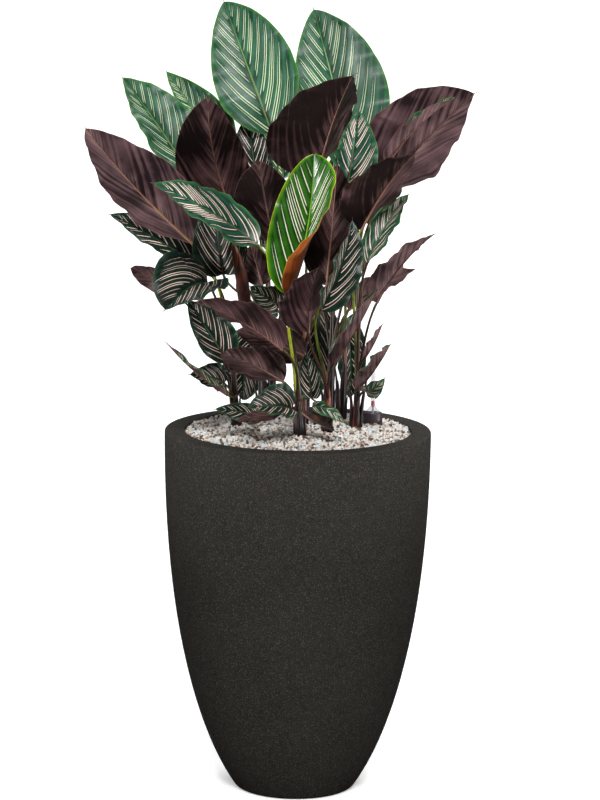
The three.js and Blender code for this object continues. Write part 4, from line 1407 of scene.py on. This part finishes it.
@dataclass
class PebbleBed:
    """Loose pebbles on the gravel: a jittered close-packed layer with a few more on top."""

    mouth_radius: float = 169.4
    edge_height: float = 546.0
    dome: float = 12.0
    relief: float = 1.4
    spacing: float = 5.0
    smallest: float = 2.0
    largest: float = 3.3
    seed: int = 7
    around: int = 7
    bands: int = 4
    loose: int = 700
    wall_clearance: float = 3.0
    shoot_clearance: float = 1.0
    gauge_clearance: float = 2.6
    kinds: tuple[tuple[str, str, str, float], ...] = (
        ("cream", "e2d4c6", "fbf5ec", 0.46),
        ("pale", "ccdce0", "f4fbfc", 0.25),
        ("tan", "9c8074", "c4aa9c", 0.16),
        ("dark", "4c3a36", "7c665e", 0.13),
    )

    def surface(self, x: np.ndarray, y: np.ndarray) -> np.ndarray:
        """The gravel's height: a low dome 1 - share^2, with waves across it that stop at the edge."""
        share = np.minimum(1, np.hypot(x, y) / 170.0)
        waves = np.sin(x * 0.31 + 1.7 * np.sin(y * 0.17)) * np.sin(y * 0.29 + 1.3 * np.sin(x * 0.13))
        return self.edge_height + self.dome * (1 - share**2) + self.relief * waves * (1 - share**8)

    def places(self, dice: np.random.Generator) -> np.ndarray:
        """The middles of the pebbles, clear of the shoots and of the gauge."""
        reach = int(self.mouth_radius / self.spacing) + 2
        column, row = np.meshgrid(np.arange(-reach, reach + 1), np.arange(-reach * 2, reach * 2 + 1))
        x = (column + 0.5 * (row % 2)) * self.spacing
        y = row * self.spacing * math.sqrt(3) / 2
        flat = np.stack([x.ravel(), y.ravel()], 1)
        flat = flat + dice.uniform(-0.3, 0.3, flat.shape) * self.spacing
        angle = dice.uniform(0, FULL_TURN, self.loose)
        extra = np.sqrt(dice.uniform(0, 1, self.loose))[:, None]
        extra = extra * np.stack([np.cos(angle), np.sin(angle)], 1) * self.mouth_radius
        laid = dice.uniform(-0.6, 1.2, len(flat))
        lift = np.concatenate([laid, dice.uniform(2.0, 3.2, self.loose)])
        flat = np.concatenate([flat, extra])
        free = np.hypot(*flat.T) < self.mouth_radius - self.wall_clearance
        holes = [(*shoot.foot, STOCK_FOOT_RADIUS + self.shoot_clearance) for shoot in SHOOTS.values()]
        holes.append((WaterGauge.x, WaterGauge.y, WaterGauge.radius + self.gauge_clearance))
        for x_foot, y_foot, radius in holes:
            free &= np.hypot(flat[:, 0] - x_foot, flat[:, 1] - y_foot) > radius
        height = self.surface(flat[:, 0], flat[:, 1]) + lift
        return np.column_stack([flat, height])[free]

    def ball(self) -> tuple[np.ndarray, list[np.ndarray]]:
        """A coarse ball of radius 1: its points, and its faces as quads and end triangles."""
        polar = np.pi * np.arange(1, self.bands) / self.bands
        turn = np.arange(self.around) / self.around * FULL_TURN
        rings = np.stack(
            [
                np.sin(polar)[:, None] * np.cos(turn)[None, :],
                np.sin(polar)[:, None] * np.sin(turn)[None, :],
                np.broadcast_to(-np.cos(polar)[:, None], (len(polar), self.around)),
            ],
            -1,
        )
        skin = tube_skin(rings)
        points = skin.points.copy()
        points[-2:] = ((0, 0, -1), (0, 0, 1))
        return points, skin.faces

    def build(self) -> list[bpy.types.Object]:
        """Builds one piece for each kind of stone.

        A pebble is the ball with each point moved in or out by up to 22 percent, stretched to
        three half sizes, and turned at random by a unit quaternion.
        """
        dice = np.random.default_rng(self.seed)
        places = self.places(dice)
        kinds = dice.choice(len(self.kinds), len(places), p=[share for *_, share in self.kinds])
        ball, faces = self.ball()
        sizes = dice.uniform(self.smallest, self.largest, (len(places), 1))
        sizes = sizes * dice.uniform(0.72, 1.1, (len(places), 3))
        dents = dice.uniform(0.8, 1.22, (len(places), len(ball), 1))
        w, i, j, k = unit(dice.normal(size=(len(places), 4))).T
        turns = np.stack(
            [
                np.stack([1 - 2 * (j * j + k * k), 2 * (i * j - k * w), 2 * (i * k + j * w)], -1),
                np.stack([2 * (i * j + k * w), 1 - 2 * (i * i + k * k), 2 * (j * k - i * w)], -1),
                np.stack([2 * (i * k - j * w), 2 * (j * k + i * w), 1 - 2 * (i * i + j * j)], -1),
            ],
            -2,
        )
        shaped = ball[None] * dents * sizes[:, None]
        points = np.einsum("nij,npj->npi", turns, shaped) + places[:, None]
        pieces = []
        for number, (label, dark, light, _) in enumerate(self.kinds):
            chosen = points[kinds == number]
            starts = (np.arange(len(chosen)) * len(ball))[:, None, None]
            blocks = [(block[None] + starts).reshape(-1, block.shape[1]) for block in faces]
            finish = TumbledStone(f"tumbled_{label}_stone", dark, light).build()
            skin = Skin(chosen.reshape(-1, 3), blocks)
            pieces.append(make_piece(f"pebbles_{label}", [skin], [finish], ()))
        return pieces


@dataclass
class WaterGauge:
    """The dipstick gauge: a dark housing, a clear cone and sight tube, and a white float inside.

    The float carries a rod with a red knob, which shows in the sight tube.
    """

    x: float = 113.0
    y: float = 38.0
    foot: float = 330.0
    top: float = 570.0
    radius: float = 14.5
    wall: float = 2.0
    cone: float = 10.0
    cap_top: float = 634.0
    tube_radius: float = 4.2
    cap_wall: float = 1.2
    float_radius: float = 9.0
    float_height: float = 34.0
    float_top: float = 588.0
    rod_radius: float = 1.5
    knob_radius: float = 2.7
    knob_height: float = 9.0
    gap: float = 0.3
    sides: int = 48

    def build(self) -> None:
        """Builds the housing, the cap and the float, each turned from its profile."""
        bore = self.radius - self.wall
        housing = [(0.4, self.foot), (self.radius, self.foot)]
        housing += rounded_profile(
            [
                (self.radius, self.foot + 2, 0),
                (self.radius, self.top, 1.2),
                (bore, self.top, 0.5),
                (bore, self.top - 30, 0),
            ]
        )
        housing += [(bore, self.foot + self.wall), (0.4, self.foot + self.wall)]
        dark = MouldedPlastic("dark_abs", "3f343a", 0.42)
        self.turn("gauge_tube", housing, dark, "gauge_housing", "gauge_housing")
        base = self.top + self.gap
        shoulder = base + self.cone
        thin = self.tube_radius - self.cap_wall
        cap = rounded_profile(
            [
                (self.radius - 1, base, 0),
                (self.radius - 1, base + 3, 1.0),
                (self.tube_radius, shoulder, 2.0),
                (self.tube_radius, self.cap_top, 2.2),
                (0.4, self.cap_top, 0),
            ]
        )
        roof = self.cap_top - self.cap_wall
        cap += [(0.4, roof), (thin, self.cap_top - 2 - self.cap_wall), (thin, shoulder)]
        cap += [(bore - 0.5, base), (self.radius - 1, base)]
        clear = MouldedPlastic("clear_san_plastic", "8c8898", 0.12, cover=0.2)
        self.turn("gauge_sight_cap", cap, clear, "gauge_cap", "gauge_clear", closed=False)
        low = self.foot + self.wall + self.gap
        mark = self.float_top - self.knob_height
        stick = [(0.2, low), (self.float_radius, low), (self.float_radius, low + self.float_height)]
        stick += [(self.rod_radius, low + (self.float_height + 4)), (self.rod_radius, mark), (0.2, mark)]
        knob = rounded_profile(
            [
                (0.2, mark, 0),
                (self.knob_radius, mark, 1.6),
                (self.knob_radius, self.float_top, 2.2),
                (0.2, self.float_top, 0),
            ],
            steps=3,
        )
        skins = [
            tube_skin(turned_rings(profile, self.sides, (self.x, self.y)), finish)
            for finish, profile in enumerate((stick, knob))
        ]
        white = MouldedPlastic("white_polystyrene", "dcd8d4", 0.35)
        red = MouldedPlastic("red_polystyrene", "d02404", 0.35)
        make_piece("gauge_float_stick", skins, [white.build(), red.build()], ("gauge_float",))

    def turn(
        self,
        name: str,
        profile: list[tuple[float, float]],
        finish: MouldedPlastic,
        node: str,
        slot: str,
        closed: bool = True,
    ) -> bpy.types.Object:
        """Turns a profile about the gauge's axis and makes it a piece that stands for a node."""
        skin = tube_skin(turned_rings(profile, self.sides, (self.x, self.y)), closed=closed)
        return make_piece(name, [skin], [finish.build()], (node,))


# Studio


@dataclass
class Studio:
    """A pale floor, soft white light, and the camera at the photograph's place."""

    image_height: float = 800.0
    focal_pixels: float = 3300.0
    sensor: float = 36.0
    place: tuple[float, float, float] = (2.7, -4873.0, 1445.0)
    pitch: float = 9.9
    roll: float = 0.62
    floor_reach: float = 40.0
    floor_glow: float = 0.46
    floor_bounce: str = "7c7c7c"
    ambient: float = 0.17
    lamps: tuple[tuple[str, float, tuple[float, float], float], ...] = (
        ("key", 2.4, (2, 40), 16.0),
        ("rear", 1.5, (170, 64), 30.0),
    )
    softboxes: tuple[tuple[str, float, tuple[float, float, float]], ...] = (
        ("left_softbox", 330.0, (-2.6, -0.9, 0.35)),
        ("right_softbox", 330.0, (2.6, -0.9, 0.35)),
    )
    softbox_aim: tuple[float, float, float] = (0.0, 0.0, 0.93)
    softbox_cone: float = 17.0
    softbox_radius: float = 0.25

    def build(self) -> None:
        """Builds the floor, the lights, the backdrop and the camera."""
        self.build_floor()
        self.build_lights()
        self.build_camera()

    def build_floor(self) -> None:
        """A pale matt floor that runs to the horizon, lit a little from beneath.

        The camera sees it pale, and the object gets only a dim bounce from it.
        """
        reach = self.floor_reach
        mesh = bpy.data.meshes.new("studio_floor")
        corners = [(-reach, -reach, 0), (reach, -reach, 0), (reach, reach, 0), (-reach, reach, 0)]
        mesh.from_pydata(corners, [], [(0, 1, 2, 3)])
        material, add = new_material("matt_white_floor")
        place = add("TexCoord").outputs["Object"]
        cloud = add("TexNoise", Vector=place, Scale=0.8)
        colour = add("Mix", cloud, "f6f6f6", "fbfbfb", data_type="RGBA")
        glow = add("Emission", Color="ffffff", Strength=self.floor_glow)
        matt = add("BsdfDiffuse", Color=colour)
        pale = add("AddShader", matt, glow)
        dim = add("BsdfDiffuse", Color=self.floor_bounce)
        ray = add("LightPath").outputs["Is Camera Ray"]
        add("OutputMaterial", Surface=add("MixShader", ray, dim, pale))
        mesh.materials.append(material)
        floor = bpy.data.objects.new("studio_floor", mesh)
        bpy.context.scene.collection.objects.link(floor)

    def build_lights(self) -> None:
        """Sun lamps from the front and the rear, a softbox on each side, and a white surround.

        The softboxes are masked to the foliage. The camera sees the surround at full white, and
        the object is lit by a share of it.
        """
        for name, strength, (azimuth, elevation), spread in self.lamps:
            lamp = bpy.data.lights.new(name, "SUN")
            lamp.energy = strength
            lamp.angle = math.radians(spread)
            holder = bpy.data.objects.new(name, lamp)
            heading = Matrix.Rotation(math.radians(azimuth), 4, "Z")
            holder.matrix_world = heading @ Matrix.Rotation(math.radians(90 - elevation), 4, "X")
            bpy.context.scene.collection.objects.link(holder)
        for name, power, place in self.softboxes:
            lamp = bpy.data.lights.new(name, "SPOT")
            lamp.energy = power
            lamp.spot_size = math.radians(self.softbox_cone)
            lamp.spot_blend = 0.5
            lamp.shadow_soft_size = self.softbox_radius
            holder = bpy.data.objects.new(name, lamp)
            aim = Vector(self.softbox_aim) - Vector(place)
            facing = aim.to_track_quat("-Z", "Y").to_matrix().to_4x4()
            holder.matrix_world = Matrix.Translation(place) @ facing
            bpy.context.scene.collection.objects.link(holder)
        world = bpy.data.worlds.new("white_surround")
        world.use_nodes = True
        world.node_tree.nodes.clear()
        add = partial(add_node, world.node_tree)
        seen = add("Background", Color="ffffff", Strength=1.0)
        lit = add("Background", Color="ffffff", Strength=self.ambient)
        ray = add("LightPath").outputs["Is Camera Ray"]
        add("OutputWorld", Surface=add("MixShader", ray, lit, seen))
        bpy.context.scene.world = world
        bpy.context.scene.view_settings.view_transform = "Standard"

    def build_camera(self) -> None:
        """The camera, pitched down and rolled as the photograph's was."""
        lens = bpy.data.cameras.new("photograph_view")
        lens.sensor_fit = "VERTICAL"
        lens.sensor_height = self.sensor
        lens.lens = self.focal_pixels / self.image_height * self.sensor
        lens.clip_end = 200.0
        camera = bpy.data.objects.new("photograph_view", lens)
        aim = Matrix.Rotation(math.radians(90 - self.pitch), 4, "X")
        aim = aim @ Matrix.Rotation(math.radians(self.roll), 4, "Z")
        camera.matrix_world = Matrix.Translation([MM * c for c in self.place]) @ aim
        bpy.context.scene.collection.objects.link(camera)
        bpy.context.scene.camera = camera


# The whole model


def dress_hidden_nodes() -> None:
    """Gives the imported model's own gravel and clay nodes their finishes; they stay as they are."""
    grit = GrittyComposite(
        "gravel_underlay", dark="6e6058", light="b4a498", speck="e8dfd6", rust="8a6454", relief=0.001
    ).build()
    clay = GrittyComposite(
        "fired_clay_granules", dark="5a2c1c", light="96543a", speck="b87a5c", rust="6e3422", relief=0.002
    ).build()
    for node, finish in (("gravel", grit), ("clay_fill", clay)):
        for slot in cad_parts[node].material_slots:
            slot.material = finish


def main() -> None:
    """Builds the sub-assemblies in order."""
    logging.basicConfig(level=logging.INFO, format="%(message)s")
    Planter().build()
    dress_hidden_nodes()
    PebbleBed().build()
    WaterGauge().build()
    Plant(LEAVES).build()
    FurledLeaf().build()
    Studio().build()


if __name__ == "__main__":
    main()
